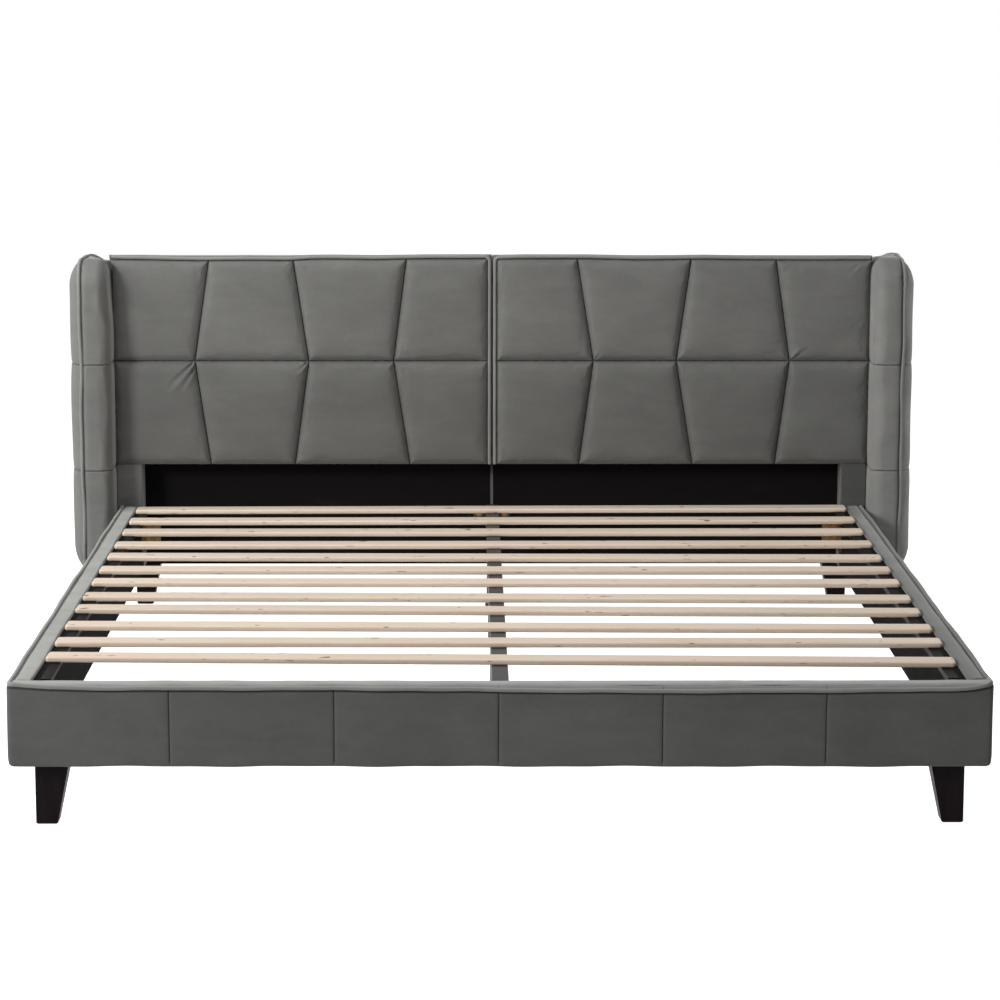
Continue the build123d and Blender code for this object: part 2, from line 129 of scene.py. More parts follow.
# How far the cushions' top edge stands above its nominal height, in millimetres
top_line = {
    "left": ((-1.01, -0.94, -0.83, -0.77, -0.65, -0.54, -0.48, -0.42, -0.31, -0.24, -0.18, -0.07),
             (3.7, 2.5, 0.3, -0.6, 1.2, 0.0, 4.0, 4.5, 2.8, 4.0, 5.2, 5.4)),
    "right": ((0.02, 0.08, 0.26, 0.38, 0.43, 0.56, 0.68, 0.85, 0.95),
              (4.0, 5.3, 5.3, 2.4, 2.4, 4.5, 2.7, 2.0, 2.4)),
}
top_back_drop = 3.5 * MM
corner_flare = {"left": 9 * MM, "right": 4 * MM}
flare_height, flare_rise, flare_width = 945 * MM, 30 * MM, 50 * MM

# Footboard and rails: the seams as shares of the half width, and how the front edge sags
footboard_seam_shares = (-0.676, -0.340, -0.004, 0.331, 0.665)
welt_sag = 10.3 * MM
welt_sag_reach = {"left": 130 * MM, "right": 35 * MM}
welt_bulge = 6 * MM
foot_end_fill = 6.5 * MM
hem_slack = 5 * MM
rail_groove = 3.0 * MM
# How dark the groove beside a rail's cord is painted: painted shade, half as dark on the left.
rail_crease = {"left": 0.5, "right": 1.0}
cord_radius = 4.5 * MM
cord_unevenness = 0.35 * MM
cord_bend = 12 * MM

# Wings: the outline's round front corners and the two seams that run round them
wing_corner = 70 * MM
wing_seams = (0.699, 0.415)
side_slimming = 3.0 * MM
pad_fall = {"left": 26 * MM, "right": 19 * MM}
pad_step = {"left": 1.5 * MM, "right": -3.5 * MM}
pad_gap = -2.5 * MM
side_fall = 8 * MM
side_step = -3 * MM
side_gap = 1 * MM
wing_top_places = (0.0, 0.067, 0.148, 0.228, 0.278, 0.300)
wing_top_rise = {"left": (0.0, 2.0, 4.0, -0.5, -7.0, -17.5),
                 "right": (0.0, 4.0, 9.0, 3.5, -2.5, -12.5)}
wing_top_lean = {"left": (0.0, 0.0, 4.0, 8.0, 13.0, 25.0),
                 "right": (0.0, 0.0, 0.0, 4.0, 10.0, 24.0)}
wing_tucks = {"left": ((0.966, 15 * MM), (0.949, 15 * MM)), "right": ((0.929, 19 * MM),)}
nose_width = 38 * MM
nose_lean = {"left": 7 * MM, "right": 0.0}
lean_height, lean_rise = 800 * MM, 130 * MM
nose_depth = 40 * MM
# The board inside a wing: its top lies below the outline and falls towards the back
board_inset, board_fall, board_clearance = 9 * MM, 20 * MM, 3.6 * MM
# The outer side's profile: distance from the middle of the bed and inset from the outline
side_profile = ((1.0910, 10.5), (1.0970, 9.5), (1.1030, 14.0), (1.1090, 21.0),
                (1.1150, 31.0), (1.1200, 43.0), (1.1240, 57.0), (1.1263, 70.0))


# ---------------------------------------------------------------- shapes

def unit(value):
    """A value held between 0 and 1."""
    return np.clip(value, 0, 1)


def near_far(low, high):
    """How far a box's nearer and farther sides lie from the middle of the bed."""
    return sorted((abs(low.x), abs(high.x)))


def spaced(low, high, step, marks=(), ends=True):
    """Places from low to high about a step apart, closer together beside each mark and each end."""
    places = {round(low, 6), round(high, 6)}
    for centre in [*marks, *((low, high) if ends else ())]:
        for distance in beside_seam:
            for place in (centre - distance * MM, centre + distance * MM):
                if low - 1e-9 <= place <= high + 1e-9:
                    places.add(round(place, 6))
    places = sorted(places)
    filled = [places[0]]
    for place in places[1:]:
        start, gap = filled[-1], place - filled[-1]
        parts = max(1, math.ceil(gap / step))
        filled += [start + gap * part / parts for part in range(1, parts + 1)]
    return np.array(filled)


def box_skin(xs, ys, zs):
    """The six faces of a block as one closed grid of points and quads."""
    index, points, faces = {}, [], []

    def add_quad(turn, *corners):
        quad = []
        for i, j, k in corners:
            if (i, j, k) not in index:
                index[i, j, k] = len(points)
                points.append((xs[i], ys[j], zs[k]))
            quad.append(index[i, j, k])
        faces.append(quad[::turn])

    last_x, last_y, last_z = len(xs) - 1, len(ys) - 1, len(zs) - 1
    for i in range(last_x):
        for j in range(last_y):
            for k, turn in ((0, 1), (last_z, -1)):
                add_quad(turn, (i, j, k), (i, j + 1, k), (i + 1, j + 1, k), (i + 1, j, k))
    for i in range(last_x):
        for k in range(last_z):
            for j, turn in ((0, 1), (last_y, -1)):
                add_quad(turn, (i, j, k), (i + 1, j, k), (i + 1, j, k + 1), (i, j, k + 1))
    for j in range(last_y):
        for k in range(last_z):
            for i, turn in ((0, 1), (last_x, -1)):
                add_quad(turn, (i, j, k), (i, j, k + 1), (i, j + 1, k + 1), (i, j + 1, k))
    return np.array(points, float), faces


def rounded(points, low, high, radius):
    """Round the edges and corners of a block's skin, and give each point's outward direction."""
    inner = np.clip(points, low + radius, high - radius)
    away = points - inner
    length = np.linalg.norm(away, axis=1)[:, None]
    length[length == 0] = 1
    away = away / length
    return inner + away * radius, away


def ripple(points, size, seed, waves=9):
    """Smooth random unevenness between about -1 and 1, with waves of about one size."""
    maker = np.random.default_rng(seed)
    total = np.zeros(len(points))
    for _ in range(waves):
        direction = maker.normal(size=3)
        direction /= np.linalg.norm(direction)
        length = size * maker.uniform(0.7, 1.6)
        phase = points @ direction * 2 * math.pi / length + maker.uniform(0, 2 * math.pi)
        total += np.sin(phase)
    return total / waves ** 0.5 / 1.4


def swell(distance, reach):
    """0 at a seam, 1 from reach on, with a steep round start as stuffed cloth has."""
    return np.sqrt(1 - (1 - unit(distance / reach)) ** 2)


def valley(distance, reach):
    """0 at a seam, 1 from reach on, with a sloping start where two panels press together."""
    return np.sin(unit(distance / reach) * math.pi / 2)


def groove(distance, width):
    """1 on a seam, falling to 0 beside it."""
    return np.exp(-(distance / width) ** 2)


def crease_fold(x, z, start, degrees, length, depth, width):
    """A pulled fold that runs out from a seam's junction: a narrow dip with a ridge beside it."""
    angle = math.radians(degrees)
    along = (x - start[0]) * math.cos(angle) + (z - start[1]) * math.sin(angle)
    across = (z - start[1]) * math.cos(angle) - (x - start[0]) * math.sin(angle)
    share = unit(along / length)
    fade = np.where(along > 0, (1 - share) ** 1.3 * unit(share * 8), 0)
    spread = width * (0.45 + share)
    ridge = np.exp(-((across - 1.9 * spread) / (1.2 * spread)) ** 2)
    return depth * fade * (0.7 * ridge - groove(across, spread))


def link(name, data):
    """A new object at the origin, in the scene."""
    thing = bpy.data.objects.new(name, data)
    bpy.context.scene.collection.objects.link(thing)
    return thing


def make_piece(name, points, faces, crease, cloth):
    """A mesh piece with its place in its mesh: doubles merged and faces outward."""
    mesh = bpy.data.meshes.new(name)
    mesh.from_pydata([tuple(point) for point in points], [], [tuple(face) for face in faces])
    # The crease attribute darkens the velvet's colour in its shader: seam lines with painted shade.
    layer = mesh.attributes.new("crease", "FLOAT", "POINT")
    layer.data.foreach_set("value", np.asarray(crease, np.float32))
    work = bmesh.new()
    work.from_mesh(mesh)
    bmesh.ops.remove_doubles(work, verts=work.verts, dist=0.02 * MM)
    bmesh.ops.recalc_face_normals(work, faces=work.faces)
    work.to_mesh(mesh)
    work.free()
    mesh.shade_smooth()
    mesh.materials.append(cloth)
    return link(name, mesh)


def points_of(mesh):
    """A mesh's points."""
    points = np.zeros(len(mesh.vertices) * 3)
    mesh.vertices.foreach_get("co", points)
    return points.reshape(-1, 3)


def set_points(piece, points):
    """Move a piece's points."""
    piece.data.vertices.foreach_set("co", np.asarray(points, np.float32).ravel())
    piece.data.update()


def crease_of(piece):
    """How close each point of a piece lies to a seam, from 0 to 1."""
    values = np.zeros(len(piece.data.vertices), np.float32)
    piece.data.attributes["crease"].data.foreach_get("value", values)
    return values


def shaped_by(piece):
    """A piece as its modifiers leave it."""
    return piece.evaluated_get(bpy.context.evaluated_depsgraph_get())


def puff(piece, held, pressure, most, frames):
    """Blow a sewn piece up with its held points fixed, and keep each point near where it was."""
    before = points_of(piece.data)
    group = piece.vertex_groups.new(name="sewn")
    for number, weight in enumerate(held):
        group.add([number], float(weight), "REPLACE")
    cloth = piece.modifiers.new("puff", "CLOTH")
    settings = {
        "vertex_group_mass": "sewn", "quality": 4, "mass": 0.35, "tension_stiffness": 12,
        "compression_stiffness": 12, "shear_stiffness": 6, "bending_stiffness": 0.6,
        "shrink_min": -0.012, "use_pressure": True, "uniform_pressure_force": pressure,
    }
    for name, value in settings.items():
        setattr(cloth.settings, name, value)
    cloth.settings.effector_weights.gravity = 0
    cloth.collision_settings.use_collision = False
    cloth.point_cache.frame_start = 1
    cloth.point_cache.frame_end = frames
    for number in range(1, frames + 1):
        bpy.context.scene.frame_set(number)
    step = points_of(shaped_by(piece).data) - before
    piece.modifiers.remove(cloth)
    piece.vertex_groups.clear()
    bpy.context.scene.frame_set(1)
    length = np.linalg.norm(step, axis=1)[:, None]
    set_points(piece, before + step * np.minimum(1, most / np.maximum(length, 1e-9)))


# ---------------------------------------------------------------- finishes

class Look:
    """A node tree, with short calls for the nodes that the finishes share."""

    def __init__(self, tree):
        self.tree = tree

    def fill(self, node, inputs):
        """Give each named input of a node a value or a link."""
        for name, value in inputs.items():
            if isinstance(value, bpy.types.NodeSocket):
                self.tree.links.new(value, node.inputs[name])
            else:
                node.inputs[name].default_value = value

    def put(self, kind, inputs=None, output=0, **settings):
        """Add a node with its settings and inputs, and give one of its outputs, or all of them."""
        node = self.tree.nodes.new(kind)
        for name, value in settings.items():
            setattr(node, name, value)
        self.fill(node, inputs or {})
        return node.outputs if output is None else node.outputs[output]

    def maths(self, operation, first, second=0.0):
        """One operation on two values."""
        return self.put("ShaderNodeMath", {0: first, 1: second}, operation=operation)

    def plus(self, first, second):
        """Two values added."""
        return self.maths("ADD", first, second)

    def times(self, first, second):
        """Two values multiplied."""
        return self.maths("MULTIPLY", first, second)

    def remap(self, value, low, high, to_low, to_high):
        """Stretch a value from one range to another."""
        return self.put("ShaderNodeMapRange", {"Value": value, "From Min": low, "From Max": high,
                                               "To Min": to_low, "To Max": to_high})

    def mixed(self, factor, first, second, mode="MIX"):
        """Mix two colours."""
        return self.put("ShaderNodeMix", {0: factor, 6: first, 7: second}, 2,
                        data_type="RGBA", blend_type=mode)

    def grey(self, value):
        """A value as a colour."""
        return self.put("ShaderNodeCombineColor", {0: value, 1: value, 2: value})

    def noise(self, place, scale, detail=2.0, roughness=0.5, distortion=0.0):
        """Noise on a place, from 0 to 1."""
        return self.put("ShaderNodeTexNoise", {"Vector": place, "Scale": scale, "Detail": detail,
                                               "Roughness": roughness, "Distortion": distortion})

    def place(self, scale=(1, 1, 1), turn=(0, 0, 0)):
        """The piece's own coordinates, stretched and turned."""
        place = self.put("ShaderNodeTexCoord", output="Object")
        return self.stretched(place, scale, turn)

    def stretched(self, place, scale, turn=(0, 0, 0)):
        """A place, stretched and turned."""
        return self.put("ShaderNodeMapping", {"Vector": place, "Scale": scale, "Rotation": turn})

    def height_of(self, place):
        """The Z share of a place or a direction."""
        return self.put("ShaderNodeSeparateXYZ", {0: place}, "Z")

    def facing(self):
        """How far the surface faces up."""
        return self.height_of(self.put("ShaderNodeNewGeometry", output="Normal"))

    def seen(self):
        """1 for what the camera and reflections see, 0 for the light that falls on the bed."""
        path = self.put("ShaderNodeLightPath", output=None)
        direct = self.maths("MAXIMUM", path["Is Camera Ray"], path["Is Glossy Ray"])
        return self.maths("MAXIMUM", direct, path["Is Transmission Ray"])


def shader_group(name, inputs, outputs):
    """An empty group with its inputs' values, its outputs, and the node that they leave by."""
    group = bpy.data.node_groups.new(name, "ShaderNodeTree")
    for label, (kind, value) in inputs.items():
        socket = group.interface.new_socket(name=label, in_out="INPUT",
                                            socket_type="NodeSocket" + kind)
        socket.default_value = value
    for label, kind in outputs.items():
        group.interface.new_socket(name=label, in_out="OUTPUT", socket_type="NodeSocket" + kind)
    look = Look(group)
    return look, look.put("NodeGroupInput", output=None), group.nodes.new("NodeGroupOutput")


def make_pile_group():
    """Velvet pile: brushed patches, small mottling and fibres, with painted light on faces that
    look up (Top), painted shade on the lower part (Low), and dark seam lines with painted shade
    along the seams.
    """
    look, given, result = shader_group(
        "Velvet pile",
        {"Colour": ("Color", velvet_grey), "Patches": ("Float", 1.0), "Fibre": ("Float", 1.0),
         "Top": ("Float", 1.0), "Low": ("Float", 1.0)},
        {"Colour": "Color", "Roughness": "Float", "Height": "Float"})
    broad = look.noise(look.place((1, 1, 1.6)), 3.2, 3, 0.55, 0.6)
    brushed = look.noise(look.place((0.55, 1, 1.5), (0.1, 0.2, 0)), 17, 4, 0.6, 0.4)
    mottle = look.noise(look.place(), 75, 3, 0.6)
    fibre = look.noise(look.place(), 950, 2, 0.7)
    patches = look.plus(look.remap(broad, 0.3, 0.7, -0.11, 0.11),
                        look.remap(brushed, 0.3, 0.7, -0.11, 0.11))
    tone = look.plus(look.times(patches, given["Patches"]),
                     look.remap(mottle, 0.3, 0.7, -0.025, 0.025))
    speckle = look.times(look.remap(fibre, 0.25, 0.75, -0.10, 0.10), given["Fibre"])
    tone = look.plus(look.plus(tone, speckle), 1.0)
    # Painted light: faces that look up are lightened by the Top share.
    tone = look.times(tone, look.remap(look.facing(), 0.35, 0.9, 1.0, given["Top"]))
    # Painted shade: below 0.74 m the colour darkens to the Low share, reached at 0.64 m.
    height = look.height_of(look.place())
    tone = look.times(tone, look.remap(height, 0.64, 0.74, given["Low"], 1.0))
    # Dark seam lines with painted shade: the crease attribute darkens the colour to 0.12 of itself.
    crease = look.put("ShaderNodeAttribute", output="Fac", attribute_name="crease")
    shade = look.grey(look.times(tone, look.remap(crease, 0.2, 1.0, 1.0, 0.12)))
    look.fill(result, {
        "Colour": look.mixed(1.0, given["Colour"], shade, "MULTIPLY"),
        "Roughness": look.remap(brushed, 0.3, 0.7, 0.72, 0.86),
        "Height": look.plus(look.times(fibre, 0.5), look.times(mottle, 1.2)),
    })
    return look.tree


def make_figure_group():
    """Wood figure along Z of the given place: fine grain lines, slow tone drift and pores."""
    look, given, result = shader_group(
        "Wood figure",
        {"Place": ("Vector", (0, 0, 0)), "Light": ("Color", slat_pale),
         "Dark": ("Color", slat_grain), "Contrast": ("Float", 1.0)},
        {"Colour": "Color", "Grain": "Float", "Height": "Float"})
    along = look.stretched(given["Place"], (1, 1, 0.03))
    drifted = look.stretched(given["Place"], (1, 1, 0.18))
    lines = look.noise(along, 210, 4, 0.65, 0.35)
    bands = look.noise(drifted, 24, 3, 0.5, 0.6)
    grain = look.plus(look.times(lines, 0.55), look.times(bands, 0.45))
    share = look.times(look.remap(grain, 0.36, 0.66, 0.0, 1.0), given["Contrast"])
    pore = look.remap(look.noise(along, 900, 1, 0.5), 0.62, 0.72, 0.0, 0.35)
    share = look.maths("MINIMUM", look.plus(share, pore), 1.0)
    look.fill(result, {
        "Colour": look.mixed(share, given["Light"], given["Dark"]),
        "Grain": grain,
        "Height": look.maths("SUBTRACT", lines, pore),
    })
    return look.tree


def new_finish(name, dress, **plain):
    """A material: its shader's plain sockets, then the colour, roughness and relief that its nodes
    give, the relief as a height, its strength and its depth in millimetres."""
    material = bpy.data.materials.new(name)
    material.use_nodes = True
    look = Look(material.node_tree)
    shader = look.tree.nodes["Principled BSDF"]
    for label, value in plain.items():
        shader.inputs[label.replace("_", " ")].default_value = value
    colour, roughness, height, strength, depth = dress(look)
    bump = look.put("ShaderNodeBump", {"Height": height, "Strength": strength,
                                       "Distance": depth * MM})
    look.fill(shader, {"Base Color": colour, "Roughness": roughness, "Normal": bump})
    return material


def velvet_finish(name, colour, patches=1.0, fibre=1.0, top=1.0, low=1.0):
    """Short-pile velvet with a soft sheen. Top paints faces that look up lighter, as painted light;
    low paints a piece's lower part darker, as painted shade.
    """
    def dress(look):
        cloth = look.put("ShaderNodeGroup", {"Colour": colour, "Patches": patches, "Fibre": fibre,
                                             "Top": top, "Low": low}, None, node_tree=pile_group)
        return cloth["Colour"], cloth["Roughness"], cloth["Height"], 0.30, 0.6

    return new_finish(name, dress, Sheen_Weight=0.40, Sheen_Roughness=0.40,
                      Sheen_Tint=velvet_sheen, Specular_IOR_Level=0.10)


def wood_finish(name, light, dark, contrast, smooth, rough, strength, depth, shine):
    """Wood with the grain running up and down."""
    def dress(look):
        wood = look.put("ShaderNodeGroup", {"Place": look.place(), "Light": light, "Dark": dark,
                                            "Contrast": contrast}, None, node_tree=figure_group)
        roughness = look.remap(wood["Grain"], 0.3, 0.7, smooth, rough)
        return wood["Colour"], roughness, wood["Height"], strength, depth

    return new_finish(name, dress, Specular_IOR_Level=shine)


def slat_dress(look):
    """Planed pale plywood: grain along the slat, small dark knots, darker veneer edges, one tone
    for each slat."""
    along = look.place((1, 1, 1), (0, math.radians(90), 0))
    wood = look.put("ShaderNodeGroup", {"Place": along, "Light": slat_pale, "Dark": slat_grain,
                                        "Contrast": 0.75}, None, node_tree=figure_group)
    streak = look.noise(look.place((26, 60, 300)), 1.0, 1, 0.4)
    knot = look.remap(streak, 0.735, 0.765, 0.0, 0.85)
    slat_tone = look.remap(look.noise(look.place((0.35, 5.5, 0)), 1.0, 1), 0.3, 0.7, 0.93, 1.05)
    tinted = look.mixed(1.0, wood["Colour"], look.grey(slat_tone), "MULTIPLY")
    pink = look.remap(look.noise(look.place((0.9, 4.1, 0)), 1.0, 2), 0.45, 0.65, 0.0, 0.35)
    tinted = look.mixed(pink, tinted, slat_pink)
    edge = look.remap(look.maths("ABSOLUTE", look.facing()), 0.25, 0.80, 1.0, 0.0)
    ply = look.height_of(look.put("ShaderNodeTexCoord", output="Object"))
    ply = look.maths("SINE", look.times(ply, 2 * math.pi / (2.4 * MM)))
    shade = look.mixed(edge, white, look.grey(look.remap(ply, -1.0, 1.0, 0.90, 1.02)))
    colour = look.mixed(1.0, look.mixed(knot, tinted, slat_speck), shade, "MULTIPLY")
    roughness = look.remap(wood["Grain"], 0.3, 0.7, 0.50, 0.64)
    return colour, roughness, look.maths("SUBTRACT", wood["Height"], knot), 0.18, 0.3


def lining_dress(look):
    """Black non-woven lining: pressed dots, flecked fibres and slight scuffs."""
    place = look.place()
    dots = look.put("ShaderNodeTexVoronoi", {"Vector": place, "Scale": 420.0, "Randomness": 0.15},
                    "Distance")
    fibre = look.noise(place, 650, 3, 0.7, 1.2)
    scuff = look.noise(look.place((1.2, 1.2, 5)), 5, 5, 0.65, 0.8)
    colour = look.mixed(look.remap(fibre, 0.35, 0.75, 0.0, 0.8), lining_black, lining_worn)
    colour = look.mixed(look.remap(scuff, 0.60, 0.75, 0.0, 0.35), colour, lining_scuffed)
    roughness = look.remap(fibre, 0.3, 0.7, 0.70, 0.90)
    return colour, roughness, look.plus(look.times(dots, 0.7), fibre), 0.25, 0.3


def steel_finish(name, dark, worn, shine):
    """Dark powder coat: orange-peel relief and lighter rub marks."""
    def dress(look):
        peel = look.noise(look.place(), 520, 2, 0.5)
        rub = look.noise(look.place((1, 0.25, 1)), 26, 5, 0.7, 0.6)
        colour = look.mixed(look.remap(rub, 0.52, 0.72, 0.0, 0.6), dark, worn)
        return colour, look.remap(rub, 0.3, 0.7, 0.34, 0.52), peel, 0.20, 0.2

    return new_finish(name, dress, Specular_IOR_Level=shine)


def zinc_dress(look):
    """Yellow passivated zinc: cloudy tint and fine rolling lines."""
    cloud = look.noise(look.place(), 48, 3, 0.6, 1.0)
    rolled = look.noise(look.place((1, 1, 0.06)), 900, 2, 0.6)
    colour = look.mixed(look.remap(cloud, 0.35, 0.65, 0.0, 1.0), zinc_yellow, zinc_pink)
    return colour, look.remap(cloud, 0.3, 0.7, 0.26, 0.44), rolled, 0.12, 0.1


def plastic_dress(look):
    """Moulded black plastic with a fine grained skin and scuffed patches."""
    grain = look.noise(look.place(), 1100, 2, 0.6)
    scuff = look.noise(look.place(), 90, 4, 0.7)
    colour = look.mixed(look.remap(scuff, 0.5, 0.8, 0.0, 0.6), plastic_black, plastic_scuffed)
    return colour, look.remap(scuff, 0.3, 0.7, 0.42, 0.62), grain, 0.25, 0.1


pile_group = make_pile_group()
figure_group = make_figure_group()
velvet = velvet_finish("grey velvet", velvet_grey, 0.65)
# Painted shade: a darker copy for the headboard cushion, its lower part painted darker still.
cushion_velvet = velvet_finish("grey velvet cushion", velvet_cushion, 0.65, low=0.86)
# Painted light: a lighter copy of the velvet for the right wing.
lit_velvet = velvet_finish("grey velvet right wing painted light", velvet_lit, 0.65)
# Painted shade on the left stile, with its top painted a little lighter.
stile_velvet = velvet_finish("grey velvet left stile", velvet_stile, top=1.2)
# Painted shade: a darker copy of the cords' velvet for the right rail's cord.
rail_cord_velvet = velvet_finish("grey velvet right rail cord", velvet_rail_cord, 0.5, 0.8)
# Painted light: the left rail's velvet, its top twice as light.
lit_top_velvet = velvet_finish("grey velvet painted light on top", velvet_grey, top=2.0)
# Painted shade on the footboard's front, painted light on its top.
foot_velvet = velvet_finish("grey velvet footboard", velvet_foot, 0.7, top=3.4)
# Painted shade on the right stile, with its top painted a little lighter.
shaded_velvet = velvet_finish("grey velvet painted shade", velvet_shaded, top=1.2)
# Painted shade: the right rail's top is painted darker than its sides.
right_rail_velvet = velvet_finish("grey velvet right rail", velvet_grey, top=0.8)
# Painted light: the cords are lighter than the velvet, their tops lighter still.
cord_velvet = velvet_finish("grey velvet cord", velvet_cord, 0.5, 0.8, 1.3)
finishes = {
    "velvet": velvet,
    "piping": cord_velvet,
    "black_lining": new_finish("black lining", lining_dress, Specular_IOR_Level=0.015),
    "frame_timber": wood_finish("frame timber", timber_pale, timber_dark, contrast=0.9,
                                smooth=0.62, rough=0.80, strength=0.40, depth=0.6, shine=0.25),
    "slat_wood": new_finish("slat plywood", slat_dress, Specular_IOR_Level=0.30),
    "black_steel": steel_finish("dark powder coat", steel_dark, steel_worn, 0.35),
    "zinc_hardware": new_finish("yellow zinc", zinc_dress, Metallic=1.0),
    "glide_plastic": new_finish("moulded plastic", plastic_dress, Specular_IOR_Level=0.45),
    "leg_wood": wood_finish("espresso leg", espresso_light, espresso_dark, contrast=1.0,
                            smooth=0.36, rough=0.52, strength=0.25, depth=0.4, shine=0.05),
}
# Painted shade: the ledges under the slats get a darker copy of the powder coat, with almost no
# reflection.
shaded_ledge_steel = steel_finish("ledge powder coat painted shade", lining_black, lining_worn, 0.015)
slot_of_node = {part["node"]: part["material_slot"] for part in frame["record"]["subparts"]}
# The boards inside the headboard and wings are wrapped in velvet, so no bare wood shows at an edge
# The ledges take the darker powder coat: painted shade under the slats.
wrapped = {"slat_ledge": shaded_ledge_steel, "wing_core": velvet, "headboard_frame": velvet}
for node_name, node_object in frame["nodes"].items():
    node_object.data.materials.clear()
    finish = wrapped.get(node_name.split("_", 1)[-1], finishes[slot_of_node[node_name]])
    node_object.data.materials.append(finish)


def settle(piece, *nodes, fill=None):
    """Put a finished piece on the frame in place of its CAD nodes."""
    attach(piece, "root")
    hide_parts(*nodes)


# ---------------------------------------------------------------- headboard cushions

def refine(piece):
    """Halve a piece's mesh spacing, so that narrow folds can be drawn on it."""
    layer = piece.modifiers.new("finer", "SUBSURF")
    layer.subdivision_type = "SIMPLE"
    layer.use_limit_surface = False
    layer.levels = layer.render_levels = 1
    mesh = bpy.data.meshes.new_from_object(shaped_by(piece))
    piece.modifiers.remove(layer)
    piece.data = mesh


def panel_shares(width):
    """Places across a quilted panel from 0 to 1, closer together beside its seams."""
    near = [step / width for step in seam_steps]
    count = max(2, round((1 - 2 * near[-1]) * width / quilt_step))
    middle = [near[-1] + (1 - 2 * near[-1]) * part / count for part in range(1, count)]
    return np.array([*near, *middle, *[1 - share for share in reversed(near)]])


def cushion_folds(side, x, z, seam_z):
    """The pulled folds beside the junctions of the seams, as the stuffing drags the cloth."""
    # Start across and up, direction in degrees, length, then depth and width in millimetres
    folds = {
        "left": ((-0.796, seam_z, 225, 0.120, 12.0, 5.5),
                 (-0.790, seam_z - 0.008, 238, 0.095, 7.0, 4.5),
                 (-0.491, seam_z, 222, 0.060, 8.5, 4.2), (-0.264, seam_z, 210, 0.042, 3.5, 4.0),
                 (-0.531, 0.966, 230, 0.032, 4.0, 3.5)),
        "right": ((0.2715, seam_z, 50, 0.036, 5.0, 3.8), (0.798, seam_z, 37, 0.066, 8.5, 4.4),
                  (0.798, seam_z, 153, 0.050, 5.5, 4.0), (0.494, seam_z, 25, 0.032, 2.6, 4.0),
                  (0.985, 0.962, 218, 0.052, 4.5, 4.0)),
    }
    total = np.zeros(len(x))
    for start_x, start_z, degrees, length, depth, width in folds[side]:
        total += crease_fold(x, z, (start_x, start_z), degrees, length, depth * MM, width * MM)
    return total


def quilted_grid(side, inner, outer, bottom, seam_z, top):
    """The cushion's face in rows of (distance out, rise, height), and how near a seam each is."""
    left = inner + cushion_border
    across = panel_shares((outer - left) / (len(seam_middle[side]) + 1))
    maker = np.random.default_rng(seeds[side]["fullness"])
    fullness = maker.uniform(0.93, 1.05, size=(2, len(seam_middle[side]) + 1))
    border = [inner + cushion_border * part for part in (0.0, 0.1, 0.3, 0.55, 0.8)]
    panel_height = seam_z - bottom
    grid, creases = [], []
    for level, (z0, z1, first, second) in enumerate(((bottom, seam_z, seam_bottom, seam_middle),
                                                     (seam_z, top, seam_middle, seam_top))):
        starts = [left, *first[side], outer]
        ends = [left, *second[side], outer]
        for share in panel_shares(z1 - z0)[level:]:
            z = z0 + (z1 - z0) * share
            seams = [a + (b - a) * share for a, b in zip(starts, ends)]
            row, row_crease = [(x, 0.0, z) for x in border], [0.0] * len(border)
            for column, (x0, x1) in enumerate(zip(seams, seams[1:])):
                for part in across[(1 if column else 0):]:
                    x = x0 + (x1 - x0) * part
                    gaps = np.array([x - x0, x1 - x, share * panel_height,
                                     (1 - share) * panel_height])
                    if column == len(seams) - 2:
                        gaps[1] += 2 * MM
                    if level == 0:
                        gaps[2] += 1 * MM
                    distance = float(np.sum((gaps + 0.2 * MM) ** -4.0) ** -0.25) - 0.12 * MM
                    distance = max(distance, 0.0)
                    rise = sum(weight * valley(distance, reach * MM)
                               for weight, reach in cushion_rise)
                    row.append((x, rise * cushion_crown * fullness[level, column], z))
                    # The dark seam line with painted shade beside it, wider along the slanted
                    # seams.
                    row_crease.append(max(math.exp(-(min(gaps[:2]) / slanted_crease) ** 2),
                                          math.exp(-(min(gaps[2:]) / level_crease) ** 2)))
            grid.append(row)
            creases.append(row_crease)
    last = grid[-1]
    for part in (0.2, 0.45, 0.7, 0.9, 1.0):
        grid.append([(x, 0.0, top + cushion_border * part) for x, _, _ in last])
        creases.append([0.0] * len(last))
    return grid, creases


